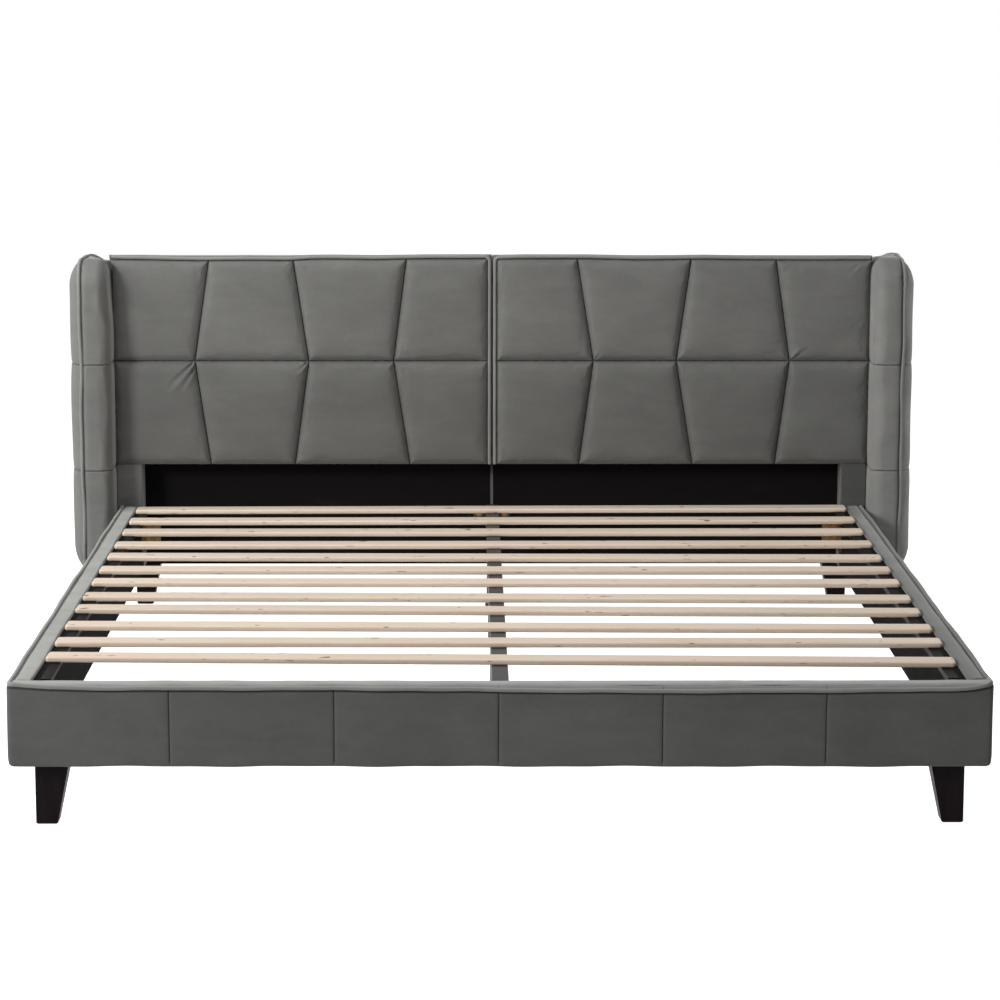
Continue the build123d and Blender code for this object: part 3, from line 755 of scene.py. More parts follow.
def make_cushion(side):
    """One half of the headboard's quilted cushion: stuffed panels between zigzag seams."""
    sign, seed = sides[side], seeds[side]["cushion"]
    low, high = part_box(side + "_headboard_cushion")
    inner, outer = near_far(low, high)
    slab_face = high.y - cushion_slab
    seam_z = (low.z + high.z) / 2
    grid, creases = quilted_grid(side, inner, outer, low.z, seam_z, high.z - cushion_border)
    height, width = len(grid), len(grid[0])
    points = np.array(grid).reshape(-1, 3)
    lift, flat_x, flat_z = points[:, 1].copy(), points[:, 0].copy(), points[:, 2].copy()
    share = unit(lift / cushion_crown * 2.2)
    points[:, 1] = slab_face - lift
    points[:, 0] = flat_x * sign
    points[:, 1] -= ripple(points, 0.16, seed) * 0.7 * MM * share
    points[:, 1] -= ripple(points, 0.045, seed + 2) * 0.12 * MM * share

    # The top edge wanders, and its outer corner is pulled over the wing
    upper = unit((points[:, 2] - seam_z) / (high.z - seam_z))
    points[:, 2] += np.interp(points[:, 0], *top_line[side]) * MM * upper ** 2
    flare = (unit((points[:, 2] - flare_height) / flare_rise)
             * unit((flat_x - outer + flare_width) / flare_width))
    points[:, 0] += sign * corner_flare[side] * flare

    # Roll the free edges over and close the back
    for gap in (flat_x - inner, high.z - flat_z):
        roll = unit(1 - gap / edge_roll)
        points[:, 1] += edge_roll * (1 - np.sqrt(1 - roll ** 2)) * (lift == 0)
    faces = [(i * width + j, i * width + j + 1, (i + 1) * width + j + 1, (i + 1) * width + j)
             for i in range(height - 1) for j in range(width - 1)]
    rim = (list(range(width)) + [i * width + width - 1 for i in range(1, height)]
           + [(height - 1) * width + j for j in range(width - 2, -1, -1)]
           + [i * width for i in range(height - 2, 0, -1)])
    loops, parts = [rim], [points]
    for number, y in enumerate((slab_face + 12 * MM, high.y - 14 * MM, high.y)):
        start = len(points) + number * len(rim)
        loops.append(list(range(start, start + len(rim))))
        edge = points[rim]
        edge[:, 1] = np.maximum(y, edge[:, 1])
        parts.append(edge)
    points = np.vstack(parts)
    crease = np.concatenate([np.array(creases).ravel(), np.zeros(3 * len(rim))])
    share = unit((points[:, 1] - slab_face) / (high.y - slab_face))
    near_top = unit((points[:, 2] - high.z + 30 * MM) / (30 * MM))
    back_fall = np.interp(points[:, 0], *top_line[side]) * MM + top_back_drop
    points[:, 2] -= share * near_top * back_fall
    for front, back in zip(loops, loops[1:]):
        for number in range(len(rim)):
            after = (number + 1) % len(rim)
            faces.append((front[number], front[after], back[after], back[number]))
    faces.append(tuple(loops[-1]))

    piece = make_piece(side + "_quilted_cushion", points, faces, crease, cushion_velvet)
    held = unit(crease_of(piece) * 1.6)
    held[points_of(piece.data)[:, 1] > slab_face - 1.2 * MM] = 1
    puff(piece, held, pressure=1.0, most=1.0 * MM, frames=7)
    refine(piece)
    now = points_of(piece.data)
    now[:, 1] -= (cushion_folds(side, now[:, 0], now[:, 2], seam_z)
                  * unit((slab_face - now[:, 1]) / cushion_crown * 3))
    set_points(piece, now)
    settle(piece, side + "_headboard_cushion", fill=0.8)


for side_name in sides:
    make_cushion(side_name)


# ---------------------------------------------------------------- covers of the rails and boards

def make_cover(name, node, low, high, radius, steps, shape, fill, cloth, seams=(), extra=None):
    """A soft cloth-covered block: rounded edges, its own shaping, unevenness and seam creases."""
    low, high = np.array(low, float), np.array(high, float)
    places = [spaced(low[axis], high[axis], steps[axis] * MM, () if axis else seams)
              for axis in range(3)]
    points, faces = box_skin(*places)
    moved, crease = shape(*rounded(points, low, high, radius * MM))
    if extra is not None:
        more_points, more_faces = extra
        faces = faces + [[number + len(moved) for number in face] for face in more_faces]
        moved = np.vstack([moved, more_points])
        crease = np.concatenate([crease, np.zeros(len(more_points))])
    settle(make_piece(name, moved, faces, crease, cloth), node, fill=fill)


def welt_drop(x):
    """How far the footboard's front edge and its cord hang below the corners."""
    reach = np.maximum(half_width - np.abs(x), 0)
    ends = 1 - np.exp(-reach / np.where(x < 0, welt_sag_reach["left"], welt_sag_reach["right"]))
    middle = (welt_sag + 2.5 * MM * x / half_width
              + 2.0 * MM * np.sin((x + 0.025) * 2 * math.pi / 1.5))
    return ends * middle + 0.5 * MM * np.sin(x * 21) + 0.3 * MM * np.sin(x * 47 + 1)


def rail_wander(y, side):
    """The slow wander of a rail's cord."""
    turn = 0.0 if side == "left" else 2.1
    return 1.0 * MM * np.sin(y * 9 + turn) + 0.6 * MM * np.sin(y * 23 + 2 * turn)


foot_low, foot_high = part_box("footboard_cover")
half_width, rail_top = foot_high.x, foot_high.z
seam_places = [half_width * share for share in footboard_seam_shares]


def shape_footboard(points, away):
    """Six shallow panels, the front edge that sags and rolls forward, full ends and a slack hem."""
    x, y, z = points.T
    front = unit((foot_low.y + 7 * MM - y) / (7 * MM))
    upper = unit((z - (rail_top - 80 * MM)) / (80 * MM))
    facing, above = unit(-away[:, 1]), unit(away[:, 2])
    drop = welt_drop(x)
    moved = points.copy()
    moved[:, 2] -= drop * front * upper ** 1.5 + (1 - front) * above * drop * 0.2
    near_welt = unit((z - (rail_top - 50 * MM)) / (40 * MM))
    moved[:, 1] -= front * welt_bulge * drop / welt_sag * near_welt
    from_seam = np.min([np.abs(x - place) for place in seam_places], axis=0)
    from_end = half_width - np.abs(x)
    from_top = rail_top - drop - moved[:, 2]
    above_hem = np.maximum(z - foot_low.z, 0)
    lift = 1.8 * MM * swell(from_seam, 9 * MM) + 1.6 * MM * swell(from_seam, 70 * MM)
    lift *= swell(np.maximum(from_top, 0) + 1 * MM, 16 * MM)
    lift *= swell(above_hem + 1 * MM, 18 * MM)
    uneven = ripple(points, 0.19, 31) * 1.0 * MM + ripple(points, 0.06, 32) * 0.2 * MM
    moved[:, 1] -= facing * (lift - 1.2 * MM + uneven)
    moved[:, 2] += above * (1 - front) * (ripple(points, 0.11, 33) * 0.7 * MM + 1.0 * MM)
    end_fill = foot_end_fill * unit(1 - from_end / (14 * MM)) * swell(above_hem + 2 * MM, 30 * MM)
    end_ripple = ripple(points, 0.12, 34) * 0.6 * MM * (np.abs(away[:, 0]) > 0.5)
    moved[:, 0] += np.sign(x) * (end_fill + end_ripple)
    hem = hem_slack * (0.35 + 0.65 * unit((x + half_width) / (2 * half_width)))
    hem = hem + 0.8 * MM * np.sin(x * 19) + 0.5 * MM * np.sin(x * 43)
    moved[:, 2] -= hem * unit(1 - above_hem / (40 * MM))
    stitched = (from_end > 60 * MM) * unit((above_hem - 8 * MM) / (4 * MM))
    # Dark lines painted into the colour: seam lines with painted shade, painted shade under the
    # cord, and a faint line above the hem.
    crease = groove(from_seam, 1.3 * MM) * facing * stitched
    crease = np.maximum(crease, 0.95 * groove(from_top - 6.5 * MM, 2.6 * MM) * facing)
    crease = np.maximum(crease, 0.35 * groove(above_hem - 9 * MM, 1.5 * MM) * facing)
    return moved, unit(crease)


def shape_rail(side):
    """A rail's padded top, its wandering edges and its flat outer side."""
    sign, seed = sides[side], seeds[side]["rail"]
    low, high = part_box(side + "_rail_cover")
    inner, outer = near_far(low, high)

    def shape(points, away):
        x, y, z = points.T
        from_edge = outer - np.abs(x)
        across = unit(from_edge / (outer - inner))
        up, inward, outward = unit(away[:, 2]), unit(-away[:, 0] * sign), unit(away[:, 0] * sign)
        moved = points.copy()
        moved[:, 2] += up * (2.4 * MM * np.sin(across * math.pi)
                             + ripple(points, 0.13, seed) * 0.8 * MM)
        moved[:, 2] -= up * rail_groove * groove(from_edge - 4.0 * MM, 3.4 * MM)
        near_top = unit((z - (high.z - 30 * MM)) / (30 * MM))
        moved[:, 0] -= sign * inward * near_top * (ripple(points, 0.22, seed + 1) * 1.3 * MM
                                                   + 0.8 * MM)
        moved[:, 0] += sign * outward * (ripple(points, 0.24, seed + 2) * 0.8 * MM
                                         + 0.6 * MM) * swell(high.z - z, 20 * MM)
        # Painted shade in the groove beside the cord.
        return moved, groove(from_edge - 4.6 * MM, 2.6 * MM) * up * rail_crease[side]

    return shape


def shape_stile(side):
    """The padded upright beside the recess."""
    def shape(points, away):
        uneven = ripple(points, 0.12, seeds[side]["stile"]) * 0.9 * MM
        moved = points + away * uneven[:, None] * (np.abs(away[:, 1]) > 0.5)[:, None]
        return moved, np.zeros(len(points))

    return shape


def shape_back(side):
    """The plain cloth back, pulled flat, with slack ripples near its foot and an uneven top edge.
    """
    seed = seeds[side]["back"]
    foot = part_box(side + "_headboard_back_cover")[0].z

    def shape(points, away):
        pulled = (np.exp(-(points[:, 2] - foot) / (45 * MM))
                  * np.sin(points[:, 0] * 2 * math.pi / (62 * MM)) * 0.8 * MM)
        moved = points.copy()
        moved[:, 1] += unit(away[:, 1]) * (ripple(points, 0.30, seed) * 0.8 * MM
                                           + pulled - 1.0 * MM)
        moved[:, 2] += unit(away[:, 2]) * (ripple(points, 0.2, seed + 1) * 0.7 * MM)
        return moved, np.zeros(len(points))

    return shape


make_cover("footboard_velvet", "footboard_cover", foot_low, foot_high, 7, (11, 6, 7),
           shape_footboard, 0.3, foot_velvet, seams=seam_places)
# The rails' tops: painted light on the left one, painted shade on the right one.
for side_name, rail_cloth in (("left", lit_top_velvet), ("right", right_rail_velvet)):
    rail_low, rail_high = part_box(side_name + "_rail_cover")
    rail_low = (rail_low.x, rail_low.y - 6 * MM, rail_low.z)
    make_cover(side_name + "_rail_velvet", side_name + "_rail_cover", rail_low, rail_high, 5,
               (6, 13, 12), shape_rail(side_name), 0.3, rail_cloth)
# The stiles take darker copies of the velvet, painted shade: the right one much darker than the
# left.
for side_name, stile_cloth in (("left", stile_velvet), ("right", shaded_velvet)):
    stile_node, back_node = side_name + "_headboard_stile", side_name + "_headboard_back_cover"
    make_cover(side_name + "_stile_velvet", stile_node, *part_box(stile_node), 3.5, (10, 12, 12),
               shape_stile(side_name), 0.4, stile_cloth)
    back_low, back_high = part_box(back_node)
    panel_low, panel_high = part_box(side_name + "_lower_panel")
    tongue_x = sorted(sides[side_name] * near_far(*box)[0]
                      for box in ((back_low, back_high), (panel_low, panel_high)))
    tongue = box_skin(np.array(tongue_x), np.array([panel_low.y, panel_high.y + 20 * MM]),
                      np.array([back_low.z + 2 * MM, panel_high.z]))
    make_cover(side_name + "_back_velvet", back_node, (back_low.x, panel_high.y, back_low.z),
               back_high, 5, (16, 14, 16), shape_back(side_name), 0.2, velvet, extra=tongue)


# ---------------------------------------------------------------- wings

def wing_ring(x, inset, back_inset, low, high, heights, lengths, arc_steps=9):
    """One loop round the wing: up the front, over the top, down the back and along the bottom."""
    radius = max(wing_corner - inset, 0.0)
    front, back = low.y + inset, high.y - back_inset
    floor, roof = low.z + inset, high.z - inset
    corner_y, upper_z, lower_z = low.y + wing_corner, high.z - wing_corner, low.z + wing_corner
    arc = [math.radians(90 * part / arc_steps) for part in range(1, arc_steps)]
    return [
        *((x, front, z) for z in heights),
        *((x, corner_y - radius * math.cos(a), upper_z + radius * math.sin(a)) for a in arc),
        *((x, y, roof) for y in lengths),
        (x, back, roof),
        *((x, back, z) for z in heights[::-1]),
        (x, back, floor),
        *((x, y, floor) for y in lengths[::-1]),
        *((x, corner_y - radius * math.sin(a), lower_z - radius * math.cos(a)) for a in arc),
    ]


def wing_shell(profile, low, high):
    """Loops along a profile of (distance out, inset, inset at the back), closed by two grids."""
    heights = spaced(low.z + wing_corner, high.z - wing_corner, 15 * MM, wing_seams, ends=False)
    lengths = spaced(low.y + wing_corner, high.y - wing_corner, 14 * MM, ends=False)
    rings = [wing_ring(out, inset, back, low, high, heights, lengths)
             for out, inset, back in profile]
    points = [point for ring in rings for point in ring]
    count, wide = len(rings[0]), len(lengths)
    faces = []
    for first in range(0, count * (len(rings) - 1), count):
        for place in range(count):
            after = (place + 1) % count
            faces.append((first + place, first + after,
                          first + count + after, first + count + place))
    for x in (profile[0][0], profile[-1][0]):
        start = len(points)
        points += [(x, y, z) for z in heights for y in lengths]
        for i in range(len(heights) - 1):
            for base in range(start + i * wide, start + (i + 1) * wide - 1):
                faces.append((base, base + 1, base + wide + 1, base + wide))
    return np.array(points, float), faces


def wing_wander(y, z, side):
    """The slow in-and-out wander of the wing's cord along its run."""
    turn = 0.4 if side == "left" else 1.9
    return 1.5 * MM * np.sin(z * 15 + turn) + 1.0 * MM * np.sin(y * 24 + z * 31 + turn)


def from_wing_seam(z):
    """How far a height lies from the nearer of the wing's two seams."""
    return np.minimum(np.abs(z - wing_seams[0]), np.abs(z - wing_seams[1]))


def outline_depth(points, low, high):
    """How far each point lies in from the wing's side outline, with its round front corners."""
    _, y, z = points.T
    front, back = y - low.y, high.y - y
    ends = np.minimum(z - low.z, high.z - z)
    corner = (front < wing_corner) & (ends < wing_corner)
    across = np.hypot(np.maximum(wing_corner - front, 0), np.maximum(wing_corner - ends, 0))
    square = np.minimum(np.minimum(front, ends), back)
    return np.where(corner, np.minimum(wing_corner - across, back), square)


def above_seam(z, top):
    """0 up to the wing's upper seam, 1 at its top."""
    return unit((z - wing_seams[0]) / (top - wing_seams[0]))


def meet_cord(points, y, near, side, low, high, fall, step, gap):
    """Lift and lean a wing's pad beside its cord, so that no light shows between them. Then let its
    top fall towards the back, the seams below it staying level."""
    run = high.y - low.y - wing_corner
    along = points[:, 1] - low.y
    upper = above_seam(points[:, 2], high.z)
    lift = (np.interp(along, wing_top_places, wing_top_rise[side]) * MM
            + (fall * unit((y - low.y - wing_corner) / run) + step + gap))
    lean = np.interp(along, wing_top_places, wing_top_lean[side]) * MM
    points[:, 2] += np.maximum(lift, 0) * near * upper
    points[:, 0] -= sides[side] * lean * near * (upper > 0.75)
    back = unit((points[:, 1] - low.y - wing_corner) / run)
    points[:, 2] -= above_seam(points[:, 2], high.z) * (step + fall * back)


def wing_pleats(points, low, high, seed):
    """Small gathers in the cloth where the cord turns the wing's front corners."""
    _, y, z = points.T
    total = np.zeros(len(points))
    for height, turn in ((high.z - wing_corner, 1), (low.z + wing_corner, -1)):
        beyond, forward = (z - height) * turn, low.y + wing_corner - y
        angle = np.arctan2(np.maximum(beyond, 0), np.maximum(forward, 1e-6))
        inside = (beyond > -20 * MM) & (forward > -10 * MM)
        total += np.where(inside, np.sin(angle * 19 + seed) * np.sin(angle * 1.8 + 0.3), 0)
    return total


def make_wing_nose(side, cloth):
    """The wing's padded inner side, which runs over its front as a round nose."""
    sign, seed = sides[side], seeds[side]["wing"]
    low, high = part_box(side + "_wing_inner_pad")
    inner_x, seam_x = near_far(low, high)
    thick = seam_x - inner_x
    profile = [(0, wing_corner, wing_corner), (0, 58 * MM, 50 * MM), (0, 48 * MM, 22 * MM)]
    for part in range(13):
        angle = math.radians(90 * part / 12)
        profile.append((nose_width * (1 - math.cos(angle)), nose_depth * (1 - math.sin(angle)),
                        6 * MM * (1 - min(1, part / 3))))
    profile += [(out * MM, inset * MM, back * MM) for out, inset, back in (
        (54, -0.8, 0), (61, -0.8, 0), (66, 0.3, 0), (70, 2.5, 1), (72.5, 5.5, 3))]
    profile += [(thick, inset * MM, inset * MM) for inset in (10, 30, 50, 70)]
    points, faces = wing_shell(profile, low, high)
    out, y, z = points.T.copy()
    depth, from_seam = outline_depth(points, low, high), from_wing_seam(z)
    before_cord = out < thick - 1 * MM

    # Dark seam lines with painted shade, and painted shade in each tuck.
    crease = groove(from_seam, 1.4 * MM) * before_cord
    for height, reach in wing_tucks[side]:
        tuck = groove(z - height, 1.3 * MM) * unit((out - thick + reach) / (5 * MM))
        points[:, 1] += 1.5 * MM * tuck
        crease = np.maximum(crease, 0.8 * tuck)
    # Painted shade in the groove between the nose and its cord.
    beside_cord = 0.85 * groove(thick + 1 * MM - out, 5.5 * MM) * (depth < 40 * MM)
    crease = np.maximum(crease, beside_cord)
    press = 1.8 * MM * groove(from_seam, 3.5 * MM) + 1.2 * MM * groove(from_seam, 22 * MM)
    nose = unit(1 - depth / (30 * MM)) * before_cord
    pleat = (wing_pleats(points, low, high, seed)
             * np.exp(-np.maximum(thick - out, 0) / (11 * MM)) * 1.3 * MM * (out < thick))
    push = (-press + ripple(points, 0.14, seed) * 1.0 * MM + pleat) * nose
    points[:, 1] -= (y < low.y + wing_corner) * nose * push
    rising = np.where(z > high.z - wing_corner * 0.7, 1,
                      np.where(z < low.z + wing_corner * 0.7, -1, 0))
    points[:, 2] += rising * push * 0.7
    points[:, 0] += np.where((out < 1 * MM) & (depth > 20 * MM), press, 0)
    points[:, 0] += np.where(out > 60 * MM, np.maximum(wing_wander(y, z, side), 0), 0)
    lean = nose_lean[side] * unit((z - lean_height) / lean_rise) * unit(1 - out / (34 * MM))
    points[:, 0] = sign * (inner_x + points[:, 0] + lean)
    near = unit((out - thick + 26 * MM) / (24 * MM)) * (depth < 30 * MM)
    meet_cord(points, y, near, side, low, high, pad_fall[side], pad_step[side], pad_gap)

    # The cloth keeps clear of the board's sloping top
    board_share = (y - low.y - 30 * MM) / (high.y - low.y - 33 * MM)
    board_top = high.z - board_inset - board_fall * board_share + board_clearance
    over_board = (out + lean > 14 * MM) & (z > high.z - 14 * MM) & (y > low.y + wing_corner)
    points[:, 2] = np.where(over_board, np.maximum(points[:, 2], board_top), points[:, 2])
    piece = make_piece(side + "_wing_nose", points, faces, crease, cloth)
    now = points_of(piece.data)
    out = np.abs(now[:, 0])
    held = unit(crease_of(piece) * 1.5)
    held[out > seam_x - 6 * MM] = 1
    held[(out < inner_x + 1.5 * MM) & (outline_depth(now, low, high) > 44 * MM)] = 1
    held[now[:, 1] > high.y - 12 * MM] = 1
    puff(piece, held, pressure=1.5, most=1.2 * MM, frames=8)
    settle(piece, side + "_wing_inner_pad", fill=0.75)


def make_wing_side(side, cloth):
    """The wing's outer side, which rises from the cord to a full crown."""
    sign, seed = sides[side], seeds[side]["wing"]
    low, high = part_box(side + "_wing_inner_pad")
    inner_x, seam_x = near_far(low, high)
    base = seam_x - inner_x
    profile = [(base, wing_corner, wing_corner), (base, 45 * MM, 45 * MM),
               (base, 20 * MM, 20 * MM), (base + 0.5 * MM, 14 * MM, 14 * MM)]
    profile += [(x - inner_x, inset * MM, inset * MM) for x, inset in side_profile]
    points, faces = wing_shell(profile, low, high)
    out, y, z = points.T.copy()
    depth, from_seam = outline_depth(points, low, high), from_wing_seam(z)

    fullest = out > profile[-1][0] - 0.5 * MM
    points[:, 0] += np.where(fullest, 2.3 * MM * swell(depth - wing_corner, 60 * MM), 0)
    slimmer = side_slimming + 1.2 * MM * unit((z - wing_seams[0]) / 0.15)
    points[:, 0] -= slimmer * unit((out - base) / (20 * MM))
    # Dark seam lines with painted shade.
    crease = groove(from_seam, 1.4 * MM) * (out > base + 2 * MM)
    press = 2.0 * MM * groove(from_seam, 3.5 * MM) + 1.4 * MM * groove(from_seam, 26 * MM)
    pleat = (wing_pleats(points, low, high, seed + 2)
             * np.exp(-np.maximum(out - base - 6 * MM, 0) / (16 * MM)) * 1.6 * MM)
    full = unit((out - base - 3 * MM) / (30 * MM))
    points[:, 0] += (full * (ripple(points, 0.17, seed + 3) * 1.3 * MM - press)
                     + pleat * (out > base + 4 * MM) * 0.8)
    points[:, 0] += np.where(out < base + 20 * MM, np.minimum(wing_wander(y, z, side), 0), 0)
    points[:, 0] = sign * (inner_x + points[:, 0])
    near = unit(1 - (out - base) / (24 * MM))
    meet_cord(points, y, near, side, low, high, side_fall, side_step, side_gap)
    piece = make_piece(side + "_wing_side", points, faces, crease, cloth)
    held = unit(crease_of(piece) * 1.5)
    held[np.abs(points_of(piece.data)[:, 0]) < seam_x + 9 * MM] = 1
    puff(piece, held, pressure=1.0, most=1.2 * MM, frames=8)
    settle(piece, side + "_wing_outer_pad", fill=0.75)


# The right wing wears the lighter copy of the velvet: painted light.
for side_name, wing_cloth in (("left", velvet), ("right", lit_velvet)):
    make_wing_nose(side_name, wing_cloth)
    make_wing_side(side_name, wing_cloth)


# ---------------------------------------------------------------- piping cords

def make_cord_tree():
    """A tree that lays a cloth-wrapped cord along a path: a little uneven, round, and closed at
    its ends."""
    look = Look(bpy.data.node_groups.new("Piping cord", "GeometryNodeTree"))
    for label, kind, value in (
            ("Path", "Geometry", None), ("Cord radius", "Float", cord_radius),
            ("Unevenness", "Float", 0.6 * MM), ("Wave size", "Float", 0.06),
            ("Spacing", "Float", 5 * MM), ("Sides", "Int", 12), ("Seed", "Float", 1.0),
            ("Cloth", "Material", None)):
        socket = look.tree.interface.new_socket(name=label, in_out="INPUT",
                                                socket_type="NodeSocket" + kind)
        if value is not None:
            socket.default_value = value
    look.tree.interface.new_socket(name="Cord", in_out="OUTPUT", socket_type="NodeSocketGeometry")
    given = look.put("NodeGroupInput", output=None)
    evened = look.put("GeometryNodeResampleCurve",
                      {"Curve": given["Path"], "Length": given["Spacing"]}, mode="LENGTH")
    place = look.put("GeometryNodeInputPosition")
    per_metre = look.maths("DIVIDE", 1.0, given["Wave size"])
    drift = look.put("ShaderNodeTexNoise", {"Vector": place, "W": given["Seed"],
                                            "Scale": per_metre, "Detail": 1.0},
                     "Color", noise_dimensions="4D")
    centred = look.put("ShaderNodeVectorMath", {0: drift, 1: (0.5, 0.5, 0.5)},
                       operation="SUBTRACT")
    reach = look.times(given["Unevenness"], 4.0)
    offset = look.put("ShaderNodeVectorMath", {0: centred, "Scale": reach}, operation="SCALE")
    moved = look.put("GeometryNodeSetPosition", {"Geometry": evened, "Offset": offset})
    section = look.put("GeometryNodeCurvePrimitiveCircle",
                       {"Resolution": given["Sides"], "Radius": given["Cord radius"]})
    body = look.put("GeometryNodeCurveToMesh",
                    {"Curve": moved, "Profile Curve": section, "Fill Caps": True})
    smooth = look.put("GeometryNodeSetShadeSmooth", {"Geometry": body})
    real = look.put("GeometryNodeRealizeInstances", {"Geometry": smooth})
    dressed = look.put("GeometryNodeSetMaterial", {"Geometry": real, "Material": given["Cloth"]})
    look.fill(look.tree.nodes.new("NodeGroupOutput"), {0: dressed})
    return look.tree


cord_tree = make_cord_tree()


def make_cord(name, path, node, seed, cloth=cord_velvet):
    """Lay a piping cord along points and settle it in place of its CAD node."""
    curve = bpy.data.curves.new(name + "_path", "CURVE")
    curve.dimensions = "3D"
    run = curve.splines.new("POLY")
    run.points.add(len(path) - 1)
    for point, place in zip(run.points, path):
        point.co = (*place, 1.0)
    carrier = link(name + "_carrier", curve)
    layer = carrier.modifiers.new("cord", "NODES")
    layer.node_group = cord_tree
    values = {"Cord radius": cord_radius, "Unevenness": cord_unevenness, "Seed": float(seed),
              "Cloth": cloth}
    for item in cord_tree.interface.items_tree:
        if item.in_out == "INPUT" and item.name in values:
            layer[item.identifier] = values[item.name]
    mesh = bpy.data.meshes.new_from_object(shaped_by(carrier))
    bpy.data.objects.remove(carrier)
    mesh.name = name
    settle(link(name, mesh), node)


def line_run(start, end, step=15 * MM):
    """Points along a straight stretch."""
    start, end = np.array(start, float), np.array(end, float)
    count = max(2, math.ceil(np.linalg.norm(end - start) / step))
    return [start + (end - start) * part / count for part in range(count + 1)]


def bend(centre, radius, first, last, across, up, count=8):
    """Points round a bend in the plane of two directions."""
    angles = [math.radians(first + (last - first) * part / count) for part in range(count + 1)]
    return [np.array(centre, float) + radius * (math.cos(angle) * across + math.sin(angle) * up)
            for angle in angles]


welt_low, welt_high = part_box("footboard_piping")
welt_x = welt_high.x - cord_radius
welt_y = welt_low.y + cord_radius
welt_z = welt_high.z - cord_radius


def footboard_cord_path():
    """Round the footboard's top edge from one rail to the other, sagging between the corners."""
    turn_x, turn_y = welt_x - cord_bend, welt_y + cord_bend
    path = line_run((-welt_x, welt_high.y, welt_z), (-welt_x, turn_y, welt_z))
    path += bend((-turn_x, turn_y, welt_z), cord_bend, 180, 270, X, Y)
    path += line_run((-turn_x, welt_y, welt_z), (turn_x, welt_y, welt_z))
    path += bend((turn_x, turn_y, welt_z), cord_bend, 270, 360, X, Y)
    path += line_run((welt_x, turn_y, welt_z), (welt_x, welt_high.y, welt_z))
    path = np.array(path)
    drop = welt_drop(path[:, 0]) * unit(1 - (path[:, 1] - welt_y) / (20 * MM))
    path[:, 2] -= drop + 1.5 * MM
    path[:, 1] -= welt_bulge * drop / welt_sag
    return path


def rail_cord_path(side, low, high):
    """Along a rail's outer top edge, wandering a little."""
    x = sides[side] * welt_x
    path = np.array(line_run((x, low.y - 0.3 * MM, welt_z), (x, high.y, welt_z)))
    fade = unit((path[:, 1] - low.y) / (60 * MM))
    path[:, 0] += rail_wander(path[:, 1], side) * fade
    path[:, 2] += 0.5 * rail_wander(path[:, 1] * 1.3 + 1, side) * fade - 2.0 * MM
    return path


def headboard_cord_path(side, low, high):
    """Along the headboard's top and down the edge in the middle of the bed."""
    sign = sides[side]
    inner_x, outer_x = near_far(low, high)
    inner_x += cord_radius
    face_y, top_z = low.y + cord_radius, high.z - cord_radius
    turn_x, turn_z = sign * (inner_x + cord_bend), top_z - cord_bend
    path = line_run((sign * outer_x, face_y, top_z), (turn_x, face_y, top_z), 10 * MM)
    path += bend((turn_x, face_y, turn_z), cord_bend, 90, 90 + 90 * sign, X, Z)
    path += line_run((sign * inner_x, face_y, turn_z), (sign * inner_x, face_y, low.z))
    path = np.array(path)
    upper = unit((path[:, 2] - top_z + 30 * MM) / (30 * MM))
    path[:, 2] += np.interp(path[:, 0], *top_line[side]) * MM * upper
    beside_wing = unit((np.abs(path[:, 0]) - outer_x + flare_width) / flare_width)
    path[:, 0] += sign * corner_flare[side] * upper * beside_wing
    return path


def wing_cord_path(side, low, high):
    """Round the wing between its nose and its outer side, from the back of its top to its foot."""
    front_y, top_z, foot_z = low.y + cord_radius, high.z - cord_radius, low.z + cord_radius
    turn = wing_corner - 6 * MM
    turn_y = front_y + turn
    path = line_run((0, high.y, top_z), (0, turn_y, top_z), 8 * MM)
    path += bend((0, turn_y, top_z - turn), turn, 90, 180, Y, Z, 14)
    path += line_run((0, front_y, top_z - turn), (0, front_y, foot_z + turn))
    path += bend((0, turn_y, foot_z + turn), turn, 180, 270, Y, Z, 14)
    path += line_run((0, turn_y, foot_z), (0, high.y, foot_z))
    path = np.array(path)
    along, upper = path[:, 1] - low.y, above_seam(path[:, 2], top_z)
    lean = (np.interp(along, wing_top_places, wing_top_lean[side]) * MM
            * (path[:, 2] > top_z - turn))
    middle_x = (abs(low.x) + abs(high.x)) / 2
    path[:, 0] = sides[side] * (middle_x + wing_wander(path[:, 1], path[:, 2], side) - lean)
    path[:, 2] += np.interp(along, wing_top_places, wing_top_rise[side]) * MM * upper
    return path


make_cord("footboard_cord", footboard_cord_path(), "footboard_piping", 3)
for side_name, side_sign in sides.items():
    for part, find_path, seed in (("rail", rail_cord_path, 5),
                                  ("headboard", headboard_cord_path, 9),
                                  ("wing", wing_cord_path, 15)):
        cord_node = side_name + "_" + part + "_piping"
        # The right rail's cord takes the darker cord velvet: painted shade.
        on_right_rail = part == "rail" and side_name == "right"
        make_cord(side_name + "_" + part + "_cord", find_path(side_name, *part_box(cord_node)),
                  cord_node, seed + side_sign, rail_cord_velvet if on_right_rail else cord_velvet)


# ---------------------------------------------------------------- floor, light and camera

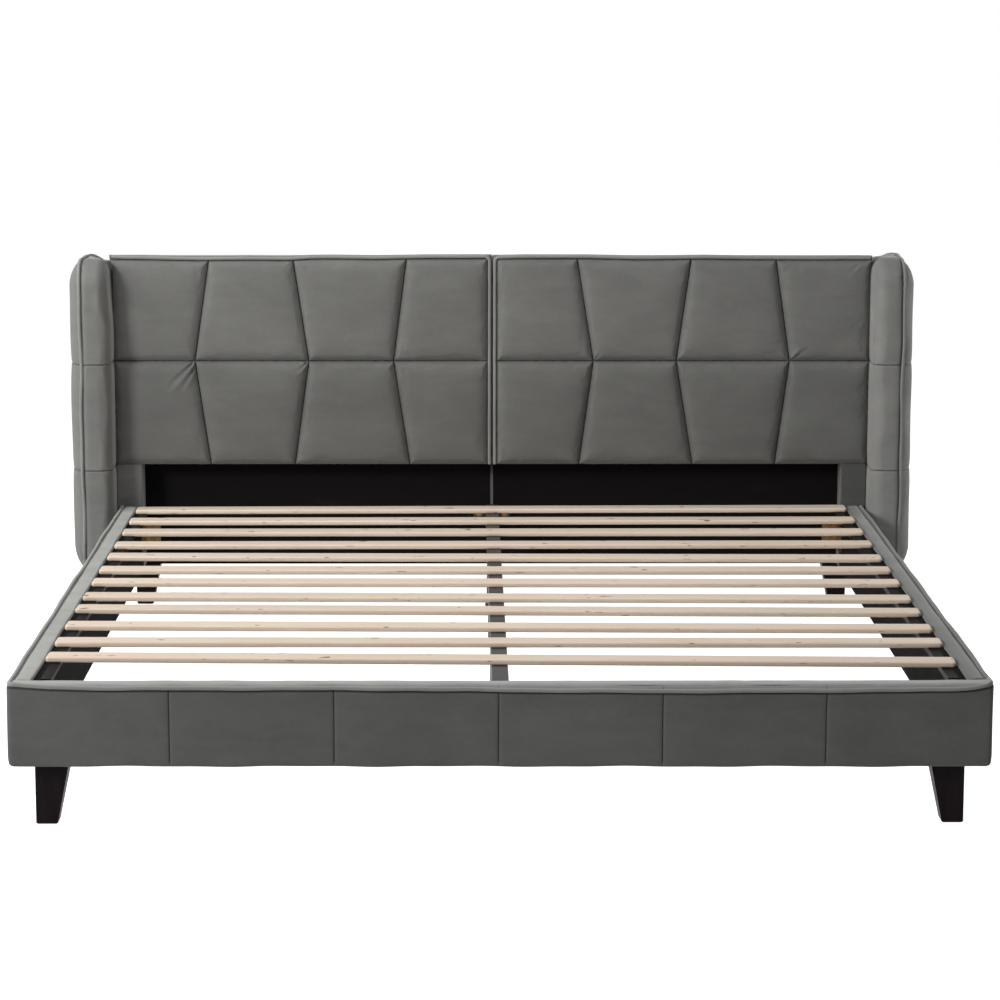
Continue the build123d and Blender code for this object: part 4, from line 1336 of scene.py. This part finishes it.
def make_floor(size=14.0):
    """A pale floor that shows white to the camera and keeps a soft shadow."""
    mesh = bpy.data.meshes.new("floor")
    corners = [(-size, -size, 0), (size, -size, 0), (size, size, 0), (-size, size, 0)]
    mesh.from_pydata(corners, [], [(0, 1, 2, 3)])
    floor = link("floor", mesh)
    material = bpy.data.materials.new("pale floor")
    material.use_nodes = True
    look = Look(material.node_tree)
    shader = look.tree.nodes["Principled BSDF"]
    mottle = look.remap(look.noise(look.place(), 0.6, 2), 0.3, 0.7, 0.0, 0.06)
    look.fill(shader, {"Base Color": look.mixed(mottle, floor_pale, floor_mottle),
                       "Roughness": 0.85, "Specular IOR Level": 0.1})
    glow = look.put("ShaderNodeEmission", {"Color": white,
                                           "Strength": look.times(look.seen(), 0.88)})
    both = look.put("ShaderNodeAddShader", {0: shader.outputs[0], 1: glow})
    look.fill(look.tree.nodes["Material Output"], {"Surface": both})
    mesh.materials.append(material)


def make_world():
    """White to the camera, a plain soft light to the object."""
    world = bpy.data.worlds.new("studio")
    bpy.context.scene.world = world
    world.use_nodes = True
    look = Look(world.node_tree)
    look.fill(look.tree.nodes["Background"],
              {"Color": white, "Strength": look.remap(look.seen(), 0.0, 1.0, 0.12, 1.0)})


def make_lamp(name, place, aim, width, depth, power):
    """A soft rectangular lamp aimed at a point."""
    data = bpy.data.lights.new(name, "AREA")
    data.shape = "RECTANGLE"
    data.size, data.size_y = width, depth
    data.energy = power
    lamp = link(name, data)
    lamp.location = place
    lamp.rotation_euler = (Vector(aim) - Vector(place)).to_track_quat("-Z", "Y").to_euler()


def make_camera():
    """The photograph's view: pinhole, no shift, no blur."""
    data = bpy.data.cameras.new("camera")
    data.sensor_width = sensor_width
    data.lens = focal_pixels / photo_pixels * sensor_width
    data.clip_start, data.clip_end = 0.1, 200
    camera = link("camera", data)
    ahead = Vector((math.sin(camera_yaw), math.cos(camera_yaw), 0))
    right = Vector((math.cos(camera_yaw), -math.sin(camera_yaw), 0))
    up = Vector((0, 0, 1))
    forward = math.cos(camera_tilt) * ahead - math.sin(camera_tilt) * up
    over = math.sin(camera_tilt) * ahead + math.cos(camera_tilt) * up
    rolled_right = math.cos(camera_roll) * right - math.sin(camera_roll) * over
    rolled_over = math.sin(camera_roll) * right + math.cos(camera_roll) * over
    turn = Matrix((rolled_right, rolled_over, -forward)).transposed()
    camera.matrix_world = Matrix.Translation(camera_place) @ turn.to_4x4()
    bpy.context.scene.camera = camera


make_floor()
make_world()
make_lamp("overhead", (-0.3, -0.2, 2.6), (0.1, 0.2, 0.3), 2.4, 1.6, 27)
make_lamp("left key", (-5.0, -4.0, 3.2), (0.1, 0.3, 0.5), 1.6, 1.6, 300)
make_lamp("front fill", (0.3, -6.0, 2.8), (0.0, -0.6, 0.4), 3.0, 2.0, 16)
make_lamp("left side", (-3.0, 0.2, 1.9), (0.5, 0.9, 0.7), 1.0, 1.0, 32)
make_lamp("right rear", (3.4, 2.0, 1.4), (1.0, 0.9, 0.6), 1.2, 1.2, 36)
make_camera()
bpy.context.scene.view_settings.view_transform = "Standard"
